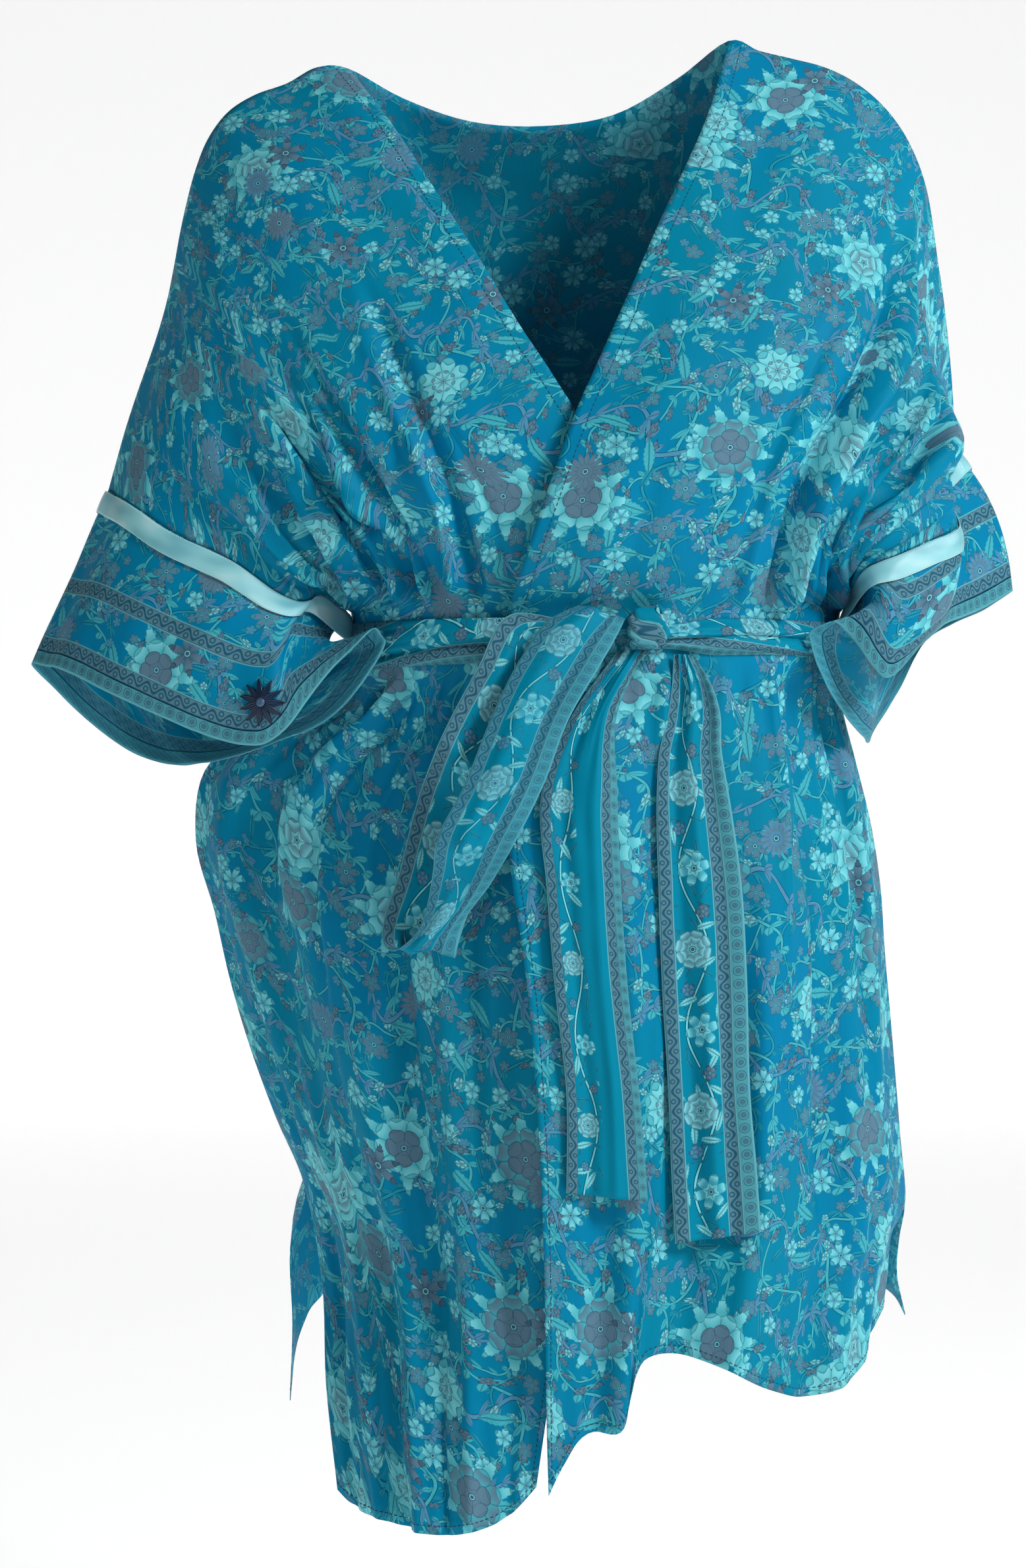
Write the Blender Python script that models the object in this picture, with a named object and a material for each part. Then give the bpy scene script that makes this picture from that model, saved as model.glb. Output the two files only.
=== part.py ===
"""Kimono jacket with a tied sash, as it hangs when it is filled out.

Metres, +Z up, the front faces -Y. The origin is where the neck and shoulders are held.
Right and left are the wearer's, so the right front is at -X.
Each piece is a wall of cloth: a grid of points is its outer face, and its inner face
is the same grid moved inwards. Panels are patches between four named edges.
"""

import math
from collections import namedtuple

import bmesh
import bpy
import numpy as np
from mathutils import Vector
from mathutils.bvhtree import BVHTree

CLOTH = 0.0015
SASH_CLOTH = 0.0012
SATIN = 0.0010
SEAM_GAP = 0.0004
RIBBON_GAP = 0.0005
LAP_GAP = 0.0045
LAP_REACH = 4.0
LAP_SLOPE = 0.35
GATHER = 1.25
BACK_EVEN = 0.55
FOLD_ROOM = 0.011
SASH_PRESS = 0.20
SEAM_PRESS = 0.15
UNDERARM_ROOM = 0.0015
UNDERARM_REACH = 0.2
LAP_FADE = (0.35, 0.75)
FOLD_BEFORE = 0.12
FOLD_GROWN = 0.28
FOLD_FADE = 0.25
RIBBON_FROM = 0.08
RIBBON_TO = 0.98

# Waist: an oval, its middle and half sizes, and the levels of the tied sash
WAIST_X = 0.027
WAIST_Y = -0.005
WAIST_HALF_WIDTH = 0.157
WAIST_HALF_DEPTH = 0.105
SHOULDER_CORE = -0.3
SASH_TOP = -0.366
SASH_FOOT = -0.404
SASH_TOP_LEFT = -0.366
SASH_FOOT_LEFT = -0.394

SASH_TOPS = (SASH_TOP, SASH_TOP_LEFT)
SASH_FEET = (SASH_FOOT, SASH_FOOT_LEFT)

# Turns round the waist oval in degrees: 0 is the front, -90 the wearer's right side
SIDE_RIGHT = -81.0
SIDE_LEFT = 83.0
LAP_EDGE = -20.5
UNDER_EDGE = 11.0

# Cells across and along each piece
FRONT_COLUMNS = 16
NECK_COLUMNS = 6
UPPER_ROWS = 16
SASH_ROWS = 2
SEAM_ROWS = 9
SLIT_ROWS = 3
CUFF_LEVELS = (0.0, 0.14, 0.36, 0.58, 0.80, 1.0)

Point = namedtuple("Point", "x y z")
Station = namedtuple("Station", "ribbon middle hem")
Fold = namedtuple("Fold", "head foot width depth start end")
Section = namedtuple("Section", "left_x left_z right_x right_z lift")


def waist(turn, z, out=0.0):
    """A point on the waist oval at a turn in degrees, moved out from it."""
    angle = math.radians(turn)
    x = WAIST_X + (WAIST_HALF_WIDTH + out) * math.sin(angle)
    y = WAIST_Y - (WAIST_HALF_DEPTH + out) * math.cos(angle)
    return Point(x, y, z)


def sash_level(turn, right, left):
    """The height of a sash edge, which runs from its right level to its left one."""
    share = 0.5 + 0.5 * math.sin(math.radians(turn))
    return right + (left - right) * share


# Edges of the panels from the neck outwards or downwards
SHOULDER_RIGHT = [
    Point(-0.132, 0.000, -0.012),
    Point(-0.145, 0.000, -0.009),
    Point(-0.166, 0.000, -0.019),
    Point(-0.208, 0.000, -0.038),
    Point(-0.225, 0.000, -0.061),
    Point(-0.235, 0.000, -0.092),
    Point(-0.251, 0.000, -0.168),
    Point(-0.276, 0.000, -0.244),
    Point(-0.287, -0.003, -0.285),
]
SHOULDER_LEFT = [
    Point(0.113, 0.000, 0.006),
    Point(0.128, 0.000, 0.001),
    Point(0.192, 0.000, -0.019),
    Point(0.213, 0.000, -0.036),
    Point(0.226, 0.000, -0.053),
    Point(0.235, 0.000, -0.071),
    Point(0.249, 0.002, -0.138),
    Point(0.258, 0.004, -0.214),
    Point(0.2605, 0.005, -0.258),
]
NECK_RIGHT = [
    Point(-0.132, 0.000, -0.012),
    Point(-0.109, -0.030, -0.046),
    Point(-0.058, -0.080, -0.131),
    Point(-0.017, -0.110, -0.201),
    Point(0.012, -0.121, -0.247),
    Point(0.032, -0.119, -0.283),
    Point(0.047, -0.110, -0.325),
]
NECK_LEFT = [
    Point(0.113, 0.000, 0.006),
    Point(0.100, -0.030, -0.042),
    Point(0.064, -0.082, -0.127),
    Point(0.031, -0.118, -0.205),
    Point(0.012, -0.131, -0.248),
    Point(-0.002, -0.132, -0.287),
    Point(-0.017, -0.125, -0.331),
]
BACK_NECK = [
    Point(-0.132, 0.000, -0.012),
    Point(-0.105, 0.026, -0.022),
    Point(-0.055, 0.046, -0.036),
    Point(-0.008, 0.052, -0.038),
    Point(0.040, 0.046, -0.032),
    Point(0.088, 0.026, -0.008),
    Point(0.113, 0.000, 0.006),
]
FRONT_EDGE_RIGHT = [
    Point(0.046, -0.112, -0.460),
    Point(0.033, -0.120, -0.560),
    Point(0.014, -0.122, -0.720),
    Point(-0.012, -0.123, -0.900),
]
FRONT_EDGE_LEFT = [
    Point(-0.029, -0.126, -0.450),
    Point(-0.028, -0.134, -0.518),
    Point(-0.017, -0.137, -0.598),
    Point(-0.012, -0.137, -0.662),
    Point(-0.004, -0.136, -0.903),
]
SIDE_SEAM_RIGHT = [
    Point(-0.154, 0.016, -0.424),
    Point(-0.200, 0.036, -0.440),
    Point(-0.229, 0.046, -0.464),
    Point(-0.236, 0.046, -0.506),
    Point(-0.225, 0.040, -0.548),
    Point(-0.207, 0.035, -0.621),
    Point(-0.189, 0.030, -0.673),
    Point(-0.162, 0.020, -0.736),
]
SIDE_SEAM_LEFT = [
    Point(0.188, 0.012, -0.425),
    Point(0.201, 0.022, -0.472),
    Point(0.211, 0.022, -0.517),
    Point(0.217, 0.022, -0.586),
    Point(0.226, 0.022, -0.693),
    Point(0.230, 0.022, -0.746),
]
FRONT_SLIT_RIGHT = [
    Point(-0.151, 0.002, -0.780),
    Point(-0.146, -0.030, -0.843),
    Point(-0.136, -0.060, -0.916),
]
FRONT_SLIT_LEFT = [
    Point(0.219, 0.012, -0.770),
    Point(0.216, 0.005, -0.798),
    Point(0.213, -0.002, -0.812),
]
BACK_SLIT_RIGHT = [
    Point(-0.171, 0.040, -0.761),
    Point(-0.174, 0.060, -0.812),
    Point(-0.173, 0.070, -0.848),
    Point(-0.176, 0.080, -0.888),
]
BACK_SLIT_LEFT = [
    Point(0.228, 0.038, -0.775),
    Point(0.228, 0.050, -0.795),
    Point(0.235, 0.060, -0.827),
]
HEM_RIGHT = [
    Point(-0.012, -0.123, -0.900),
    Point(-0.029, -0.128, -0.917),
    Point(-0.061, -0.124, -0.929),
    Point(-0.082, -0.114, -0.930),
    Point(-0.098, -0.100, -0.928),
    Point(-0.126, -0.072, -0.923),
    Point(-0.136, -0.060, -0.916),
]
HEM_LEFT = [
    Point(-0.004, -0.136, -0.903),
    Point(0.003, -0.134, -0.889),
    Point(0.017, -0.132, -0.867),
    Point(0.037, -0.132, -0.866),
    Point(0.047, -0.131, -0.836),
    Point(0.055, -0.131, -0.820),
    Point(0.082, -0.129, -0.820),
    Point(0.110, -0.124, -0.834),
    Point(0.134, -0.115, -0.844),
    Point(0.158, -0.100, -0.850),
    Point(0.174, -0.082, -0.847),
    Point(0.193, -0.048, -0.832),
    Point(0.213, -0.002, -0.812),
]
HEM_BACK = [
    Point(-0.176, 0.080, -0.888),
    Point(-0.171, 0.083, -0.848),
    Point(-0.158, 0.088, -0.820),
    Point(-0.120, 0.104, -0.806),
    Point(-0.060, 0.118, -0.803),
    Point(0.020, 0.122, -0.803),
    Point(0.100, 0.115, -0.801),
    Point(0.165, 0.098, -0.800),
    Point(0.212, 0.074, -0.806),
    Point(0.226, 0.066, -0.812),
    Point(0.235, 0.060, -0.827),
]

UNDERARM_RIGHT = waist(SIDE_RIGHT, SASH_TOP)
UNDERARM_LEFT = waist(SIDE_LEFT, SASH_TOP_LEFT)

# Rings of the cuffs: a station for each place round the sleeve, top to underarm
CUFF_RIGHT_FRONT = [
    Station((-0.287, -0.003, -0.285), (-0.313, -0.003, -0.344), (-0.337, 0.000, -0.397)),
    Station((-0.268, -0.034, -0.296), (-0.292, -0.038, -0.352), (-0.314, -0.032, -0.401)),
    Station((-0.239, -0.055, -0.316), (-0.262, -0.062, -0.368), (-0.279, -0.058, -0.417)),
    Station((-0.202, -0.068, -0.334), (-0.225, -0.080, -0.386), (-0.241, -0.074, -0.434)),
    Station((-0.175, -0.070, -0.353), (-0.192, -0.090, -0.400), (-0.203, -0.084, -0.448)),
    Station((-0.158, -0.062, -0.360), (-0.172, -0.094, -0.402), (-0.172, -0.094, -0.446)),
    Station((-0.147, -0.046, -0.354), (-0.163, -0.078, -0.391), (-0.139, -0.097, -0.405)),
    Station(UNDERARM_RIGHT, (-0.142, -0.056, -0.384), (-0.112, -0.084, -0.378)),
]
CUFF_RIGHT_BACK = [
    Station((-0.134, -0.007, -0.3615), (-0.142, -0.038, -0.390), (-0.106, -0.078, -0.390)),
    Station((-0.148, 0.000, -0.357), (-0.157, -0.040, -0.406), (-0.135, -0.082, -0.430)),
    Station((-0.166, 0.010, -0.354), (-0.177, -0.030, -0.418), (-0.170, -0.074, -0.447)),
    Station((-0.195, 0.024, -0.352), (-0.207, -0.005, -0.416), (-0.222, -0.034, -0.461)),
    Station((-0.232, 0.036, -0.338), (-0.250, 0.028, -0.400), (-0.266, 0.016, -0.457)),
    Station((-0.264, 0.030, -0.309), (-0.288, 0.034, -0.368), (-0.306, 0.038, -0.432)),
]
CUFF_LEFT_FRONT = [
    Station((0.2605, 0.005, -0.258), (0.287, 0.012, -0.299), (0.300, 0.020, -0.348)),
    Station((0.249, -0.014, -0.272), (0.262, -0.006, -0.318), (0.277, 0.002, -0.361)),
    Station((0.250, -0.038, -0.294), (0.254, -0.032, -0.336), (0.252, -0.026, -0.371)),
    Station((0.2525, -0.058, -0.312), (0.2535, -0.058, -0.346), (0.238, -0.050, -0.380)),
    Station((0.236, -0.070, -0.321), (0.238, -0.074, -0.360), (0.224, -0.066, -0.394)),
    Station((0.212, -0.076, -0.332), (0.215, -0.083, -0.364), (0.205, -0.077, -0.408)),
    Station((0.193, -0.070, -0.340), (0.202, -0.084, -0.362), (0.188, -0.083, -0.389)),
    Station((0.187, -0.045, -0.352), (0.196, -0.074, -0.361), (0.172, -0.084, -0.373)),
    Station(UNDERARM_LEFT, (0.190, -0.056, -0.375), (0.158, -0.080, -0.380)),
]
CUFF_LEFT_BACK = [
    Station((0.188, -0.004, -0.360), (0.197, -0.040, -0.390), (0.160, -0.076, -0.391)),
    Station((0.195, 0.009, -0.355), (0.203, -0.024, -0.399), (0.172, -0.066, -0.418)),
    Station((0.203, 0.024, -0.350), (0.208, -0.002, -0.408), (0.198, -0.026, -0.445)),
    Station((0.216, 0.042, -0.346), (0.216, 0.030, -0.404), (0.208, 0.028, -0.442)),
    Station((0.232, 0.054, -0.334), (0.234, 0.052, -0.380), (0.231, 0.050, -0.408)),
    Station((0.250, 0.056, -0.308), (0.256, 0.060, -0.350), (0.250, 0.055, -0.377)),
    Station((0.262, 0.036, -0.274), (0.276, 0.046, -0.318), (0.283, 0.046, -0.360)),
]

# Folds: the column at the head and at the foot, from 0 at the first edge to 1 at the
# last, the half width, the depth (a ridge is positive) and the rows that it spans
FOLDS_UPPER_RIGHT = [
    Fold(0.36, 0.48, 0.050, 0.004, 0.45, 1.00),
    Fold(0.46, 0.60, 0.045, -0.006, 0.35, 1.00),
    Fold(0.56, 0.70, 0.040, 0.007, 0.30, 1.00),
    Fold(0.67, 0.78, 0.040, -0.008, 0.34, 1.00),
    Fold(0.78, 0.86, 0.040, 0.007, 0.20, 1.00),
    Fold(0.88, 0.92, 0.035, -0.003, 0.40, 1.00),
]
FOLDS_UPPER_LEFT = [
    Fold(0.16, 0.10, 0.050, 0.005, 0.62, 1.00),
    Fold(0.50, 0.74, 0.060, -0.010, 0.24, 1.00),
    Fold(0.59, 0.80, 0.035, 0.010, 0.20, 1.00),
    Fold(0.69, 0.86, 0.045, -0.012, 0.16, 1.00),
    Fold(0.79, 0.91, 0.040, 0.011, 0.14, 1.00),
    Fold(0.89, 0.95, 0.040, -0.007, 0.20, 1.00),
]
FOLDS_LOWER_RIGHT = [
    Fold(0.30, 0.24, 0.050, 0.006, 0.00, 0.95),
    Fold(0.44, 0.40, 0.050, -0.007, 0.00, 0.90),
    Fold(0.60, 0.56, 0.055, 0.008, 0.00, 0.75),
    Fold(0.74, 0.72, 0.055, -0.013, 0.00, 0.70),
    Fold(0.86, 0.86, 0.050, 0.008, 0.00, 0.60),
]
FOLDS_LOWER_LEFT = [
    Fold(0.18, 0.20, 0.050, 0.005, 0.10, 1.00),
    Fold(0.34, 0.33, 0.040, -0.006, 0.00, 0.80),
    Fold(0.52, 0.50, 0.050, 0.007, 0.00, 1.10),
    Fold(0.68, 0.66, 0.050, -0.007, 0.00, 0.80),
    Fold(0.82, 0.80, 0.050, 0.008, 0.00, 1.05),
]
FOLDS_UPPER_BACK = [
    Fold(0.14, 0.09, 0.030, 0.008, 0.25, 1.00),
    Fold(0.21, 0.15, 0.030, -0.008, 0.30, 1.00),
    Fold(0.29, 0.24, 0.030, 0.006, 0.45, 1.00),
    Fold(0.43, 0.40, 0.030, -0.004, 0.60, 1.00),
    Fold(0.58, 0.60, 0.030, 0.004, 0.55, 1.00),
    Fold(0.72, 0.77, 0.030, 0.006, 0.42, 1.00),
    Fold(0.80, 0.85, 0.030, -0.009, 0.28, 1.00),
    Fold(0.87, 0.92, 0.030, 0.008, 0.22, 1.00),
]
FOLDS_LOWER_BACK = [
    Fold(0.12, 0.13, 0.035, 0.009, 0.00, 0.90),
    Fold(0.22, 0.22, 0.030, -0.009, 0.00, 1.00),
    Fold(0.33, 0.31, 0.035, 0.009, 0.00, 1.10),
    Fold(0.44, 0.44, 0.030, -0.008, 0.00, 0.90),
    Fold(0.54, 0.55, 0.035, 0.008, 0.00, 1.10),
    Fold(0.66, 0.66, 0.030, -0.009, 0.00, 1.00),
    Fold(0.77, 0.78, 0.035, 0.009, 0.00, 1.10),
    Fold(0.88, 0.88, 0.030, -0.008, 0.00, 0.80),
]

# Stretches of the sash that hang free: a row for each section across them
TAIL_INNER = [
    Section(0.038, -0.3920, 0.056, -0.3925, 0.0095),
    Section(0.010, -0.431, 0.038, -0.431, 0.007),
    Section(-0.009, -0.478, 0.037, -0.477, 0.007),
    Section(-0.006, -0.535, 0.039, -0.534, 0.006),
    Section(-0.001, -0.596, 0.043, -0.596, 0.005),
    Section(0.006, -0.661, 0.050, -0.661, 0.005),
    Section(0.006, -0.720, 0.055, -0.725, 0.005),
]
TAIL_OUTER = [
    Section(0.072, -0.3945, 0.086, -0.3955, 0.0055),
    Section(0.070, -0.424, 0.099, -0.423, 0.007),
    Section(0.063, -0.454, 0.101, -0.453, 0.007),
    Section(0.061, -0.486, 0.106, -0.486, 0.006),
    Section(0.062, -0.540, 0.113, -0.540, 0.005),
    Section(0.064, -0.597, 0.116, -0.597, 0.005),
    Section(0.068, -0.662, 0.118, -0.662, 0.005),
    Section(0.070, -0.716, 0.122, -0.712, 0.005),
    Section(0.072, -0.752, 0.124, -0.745, 0.005),
]
LOOP = [
    Section(0.010, -0.374, 0.030, -0.388, 0.012),
    Section(-0.030, -0.372, 0.012, -0.400, 0.010),
    Section(-0.046, -0.401, 0.002, -0.425, 0.009),
    Section(-0.065, -0.437, -0.018, -0.458, 0.009),
    Section(-0.082, -0.477, -0.034, -0.498, 0.009),
    Section(-0.095, -0.527, -0.048, -0.538, 0.010),
    Section(-0.105, -0.567, -0.060, -0.574, 0.014),
    Section(-0.102, -0.575, -0.061, -0.580, 0.021),
    Section(-0.086, -0.566, -0.057, -0.560, 0.027),
    Section(-0.075, -0.533, -0.041, -0.536, 0.030),
    Section(-0.071, -0.507, -0.025, -0.509, 0.031),
    Section(-0.056, -0.477, -0.007, -0.473, 0.031),
    Section(-0.040, -0.437, 0.007, -0.436, 0.030),
    Section(-0.021, -0.398, 0.025, -0.405, 0.026),
    Section(-0.004, -0.375, 0.037, -0.384, 0.020),
    Section(0.014, -0.366, 0.042, -0.374, 0.013),
]

# Sash round the waist, its knot and the sewn flower
BAND_START = 16.0
BAND_TURNS = 334.0
BAND_STEPS = 56
BAND_CORNERS = 8
SQUARISH = 0.4
BAND_THICK = 0.0035
BAND_CLEAR = 0.0006
BAND_DROP = 0.006
BAND_INSET = 0.0015
FAR_BACK = -0.105
STRIP_DIP = 0.002
STRIP_BOW = 0.002
STRIP_COLUMNS = 4
TAIL_INNER_STEPS = 16
TAIL_OUTER_STEPS = 18
LOOP_STEPS = 44
SMOOTHINGS = 3
KNOT_ROWS = 10
KNOT_SIDES = 20
KNOT_CAP = 0.06
KNOT_BOX = 0.55
KNOT_PLEATS = 6
KNOT_PLEAT = 0.06
KNOT_TILT = 0.1
KNOT_AT = Point(0.056, -0.1198, -0.377)
KNOT_HALF = Point(0.0130, 0.0105, 0.0150)
FLOWER_PETALS = 11
FLOWER_RADIUS = 0.0148
FLOWER_THICK = 0.0014
FLOWER_CLEAR = 0.0009
FLOWER_EYE = 0.36
FLOWER_SHARES = (1.0, 0.72, FLOWER_EYE, 0.18)
FLOWER_SPOKES = 4
FLOWER_NOTCH = 0.08
FLOWER_RIDGE = 0.65
FLOWER_SLOPE = 0.6
FLOWER_CAST = 0.02
FLOWER_PLACE = (0.665, 0.72)

CLOTH_BLUE = (0.010, 0.235, 0.330, 1.0)
BORDER_BLUE = (0.030, 0.210, 0.280, 1.0)
SATIN_AQUA = (0.160, 0.560, 0.620, 1.0)
NAVY = (0.006, 0.030, 0.075, 1.0)


def unit(vectors):
    """The same directions with length 1."""
    length = np.linalg.norm(vectors, axis=-1, keepdims=True)
    return vectors / np.maximum(length, 1e-9)


def spline(points, places, by_length=True):
    """A smooth curve through points, read at places from 0 to 1 along it."""
    p = np.array(points, float)
    steps = np.linalg.norm(np.diff(p, axis=0), axis=1)
    if not by_length:
        steps = np.ones(len(p) - 1)
    knots = np.concatenate([[0.0], np.cumsum(steps)])
    chords = np.diff(p, axis=0) / steps[:, None]
    slopes = np.vstack([chords[:1], chords])
    inner = steps[1:, None] * chords[:-1] + steps[:-1, None] * chords[1:]
    slopes[1:-1] = inner / (steps[1:] + steps[:-1])[:, None]
    at = np.asarray(places, float) * knots[-1]
    cell = np.clip(np.searchsorted(knots, at, side="right") - 1, 0, len(steps) - 1)
    h = steps[cell][:, None]
    k = ((at - knots[cell]) / steps[cell])[:, None]
    start = (2 * k**3 - 3 * k**2 + 1) * p[cell] + (k**3 - 2 * k**2 + k) * h * slopes[cell]
    end = (3 * k**2 - 2 * k**3) * p[cell + 1] + (k**3 - k**2) * h * slopes[cell + 1]
    return start + end


def ease(value, low, high):
    """0 below low, 1 above high, and smooth between."""
    k = np.clip((value - low) / (high - low), 0.0, 1.0)
    return k * k * (3 - 2 * k)


def patch(top, foot, first, last):
    """A grid of points between four edges, which meet at their corners."""
    s = np.linspace(0, 1, len(top))[None, :, None]
    t = np.linspace(0, 1, len(first))[:, None, None]
    between = (1 - t) * top[None] + t * foot[None] + (1 - s) * first[:, None] + s * last[:, None]
    corners = (1 - s) * (1 - t) * top[0] + s * (1 - t) * top[-1]
    corners = corners + (1 - s) * t * foot[0] + s * t * foot[-1]
    return between - corners


def normals(grid, ring=False):
    """Unit normals of a grid, on the side where its rows go down and columns go right."""
    if ring:
        across = np.roll(grid, -1, axis=1) - np.roll(grid, 1, axis=1)
    else:
        across = np.gradient(grid, axis=1)
    return unit(np.cross(across, np.gradient(grid, axis=0)))


def crease(grid, folds, out, seam_columns, sash_row):
    """Moves a patch out along its ridges and in along its troughs, flat at the sash."""
    rows, columns = grid.shape[:2]
    s = np.linspace(0, 1, columns)[None, :]
    t = np.linspace(0, 1, rows)[:, None]
    depth = np.zeros((rows, columns))
    for f in folds:
        centre = f.head + (f.foot - f.head) * t
        window = 1.0
        if f.start > 0:
            window = ease(t, f.start - FOLD_BEFORE, f.start + FOLD_GROWN)
        if f.end < 1:
            window = window * (1 - ease(t, f.end - FOLD_FADE, f.end))
        depth = depth + f.depth * window * np.exp(-(((s - centre) / f.width) ** 2))
    for side in seam_columns:
        depth = depth * ease(abs(s - side), 0.0, SEAM_PRESS)
    room = np.linalg.norm(np.gradient(grid, axis=1), axis=2) / FOLD_ROOM
    depth = depth * ease(abs(t - sash_row), 0.0, SASH_PRESS) * np.minimum(room, 1.0)
    return depth[..., None] * out * normals(grid)


def wall(name, grid, thick, side, ring=False, inward=None, ways=None):
    """A closed wall of cloth behind a grid.

    inward gives chosen points their own way in, and ways gives it for every point.
    """
    way = -side * normals(grid, ring) if ways is None else ways
    for place, direction in (inward or {}).items():
        way[place] = direction
    inner = grid + thick * way
    rows, columns = grid.shape[:2]
    points = np.concatenate([grid.reshape(-1, 3), inner.reshape(-1, 3)])
    count = rows * columns
    faces = []
    spans = columns if ring else columns - 1
    for i in range(rows - 1):
        for j in range(spans):
            k = (j + 1) % columns
            cell = (i * columns + j, i * columns + k, (i + 1) * columns + k, (i + 1) * columns + j)
            faces.extend(halves(cell, False))
            faces.extend(halves([count + v for v in cell], True))
    for i, turn in ((0, 1), (rows - 1, -1)):
        for j in range(spans):
            k = (j + 1) % columns
            edge = (i * columns + k, i * columns + j, count + i * columns + j, count + i * columns + k)
            faces.append(edge[::turn])
    if not ring:
        for j, turn in ((0, 1), (columns - 1, -1)):
            for i in range(rows - 1):
                a = i * columns + j
                b = a + columns
                faces.append((a, b, count + b)[::turn])
                faces.append((a, count + b, count + a)[::turn])
    return solid(name, points, faces)


def halves(cell, inner):
    """The two triangles of a cell, cut the same way on both faces of a wall."""
    a, b, c, d = cell
    cut = [(a, b, c), (a, c, d)]
    return [half[::-1] for half in cut] if inner else cut


def solid(name, points, faces):
    """An object from points and faces, its faces turned outwards."""
    mesh = bpy.data.meshes.new(name)
    mesh.from_pydata([tuple(p) for p in points], [], faces)
    bm = bmesh.new()
    bm.from_mesh(mesh)
    bmesh.ops.recalc_face_normals(bm, faces=bm.faces)
    if bm.calc_volume(signed=True) < 0:
        bmesh.ops.reverse_faces(bm, faces=bm.faces)
    bm.to_mesh(mesh)
    bm.free()
    mesh.shade_smooth()
    obj = bpy.data.objects.new(name, mesh)
    bpy.context.scene.collection.objects.link(obj)
    return obj


def tube(name, rings):
    """A closed solid from a row of closed rings, with a flat cap on each end."""
    count, sides = rings.shape[:2]
    faces = [tuple(range(sides)), tuple((count - 1) * sides + k for k in reversed(range(sides)))]
    for i in range(count - 1):
        for j in range(sides):
            k = (j + 1) % sides
            faces.append((i * sides + k, i * sides + j, (i + 1) * sides + j, (i + 1) * sides + k))
    return solid(name, rings.reshape(-1, 3), faces)


def material(name, colour, roughness):
    """A plain finish for a piece."""
    finish = bpy.data.materials.new(name)
    finish.use_nodes = True
    shader = finish.node_tree.nodes["Principled BSDF"]
    shader.inputs["Base Color"].default_value = colour
    shader.inputs["Roughness"].default_value = roughness
    return finish


def cuff_line(stations, which, places):
    """One ring of a cuff, along half of the sleeve."""
    return spline([getattr(s, which) for s in stations], places, by_length=False)


def cuff_halves(front, back):
    """The stations of the sleeve's front, top to underarm, and its back, the other way."""
    return front, [front[-1], *back, front[0]]


def waist_row(start, end, shares, levels, out):
    """The points of a panel on the waist oval, moved in where it lies under its lap."""
    row = []
    for k in shares:
        turn = start + (end - start) * k
        move = out * (1 - ease(k, *LAP_FADE))
        row.append(waist(turn, sash_level(turn, *levels), move))
    return np.array(row)


def in_xz(tangent, towards):
    """The way across a seam's line in the XZ plane, on the side of a point."""
    way = np.stack([-tangent[:, 2], 0 * tangent[:, 0], tangent[:, 0]], axis=1)
    flip = np.sign(np.sum(way * towards, axis=1, keepdims=True))
    return unit(way * np.where(flip == 0, 1, flip))


def tangents(line):
    """Unit directions along a line of points."""
    return unit(np.gradient(line, axis=0))


def shoulder_ways(shoulder):
    """The way in at each point of a shoulder line, for the front and the back alike."""
    line = spline(shoulder, np.linspace(0, 1, FRONT_COLUMNS + 1))
    return in_xz(tangents(line), np.array([WAIST_X, 0.0, SHOULDER_CORE]) - line)


def seam_frame(stations, places, centre, crown):
    """A sleeve seam's points, the way in to the sleeve's hollow and the way down the arm."""
    line = cuff_line(stations, "ribbon", places)
    down = cuff_line(stations, "middle", places) - line
    along = tangents(line)
    down = unit(down - np.sum(down * along, axis=1, keepdims=True) * along)
    way_in = np.cross(along, down)
    flip = np.sign(np.sum(way_in * (centre - line), axis=1, keepdims=True))
    way_in = unit(way_in * np.where(flip == 0, 1, flip))
    top = np.argmax(line[:, 2])
    way_in[top] = crown
    return line, way_in, down


def ring_centre(front, back):
    """The middle of a sleeve's seam ring."""
    return np.mean([s.ribbon for s in front + back], axis=0)


def side_edge(start, seam, slit):
    """A panel's side below the sash: the seam, then the edge of the slit."""
    upper = spline([start, *seam], np.linspace(0, 1, SEAM_ROWS + 1))
    lower = spline([seam[-1], *slit], np.linspace(0, 1, SLIT_ROWS + 1))
    return np.concatenate([upper, lower[1:]])


def front_panel(spec):
    """The outer face of a front: shoulder to sash, sash rows, then skirt, and its rims."""
    s = np.linspace(0, 1, FRONT_COLUMNS + 1)
    t = np.linspace(0, 1, UPPER_ROWS + 1)
    gathered = 1 - (1 - s) ** GATHER
    ways = shoulder_ways(spec["shoulder"])
    middle = ring_centre(spec["front"], spec["back"])
    line, way_in, down = seam_frame(spec["front"], t, middle, ways[-1])
    outer = line - down * SEAM_GAP / 2
    top_row = waist_row(spec["edge"], spec["side"], gathered, SASH_TOPS, spec["out"])
    foot_row = waist_row(spec["edge"], spec["side"], gathered, SASH_FEET, spec["out"])
    outer[-1] = top_row[-1]
    neck = spline([*spec["neck"], top_row[0]], t)
    top = spline(spec["shoulder"], s)
    top[-1] = outer[0]
    upper = patch(top, top_row, neck, outer)
    upper = upper + crease(upper, spec["upper_folds"], spec["turn"], [1.0], 1.0)
    side = side_edge(foot_row[-1], spec["seam"], spec["slit"])
    edge = spline([foot_row[0], *spec["front_edge"]], np.linspace(0, 1, len(side)))
    lower = patch(foot_row, spline(spec["hem"], s), edge, side)
    lower = lower + crease(lower, spec["lower_folds"], spec["turn"], [1.0], 0.0)
    grid = join_rows(upper, lower)
    grid[0, :, 1] -= SEAM_GAP / 2
    grid[:, -1, 1] -= SEAM_GAP / 2
    rims = edge_ways(grid, way_in, -1)
    rims.update({(0, j): way for j, way in enumerate(ways)})
    return grid, rims


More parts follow.
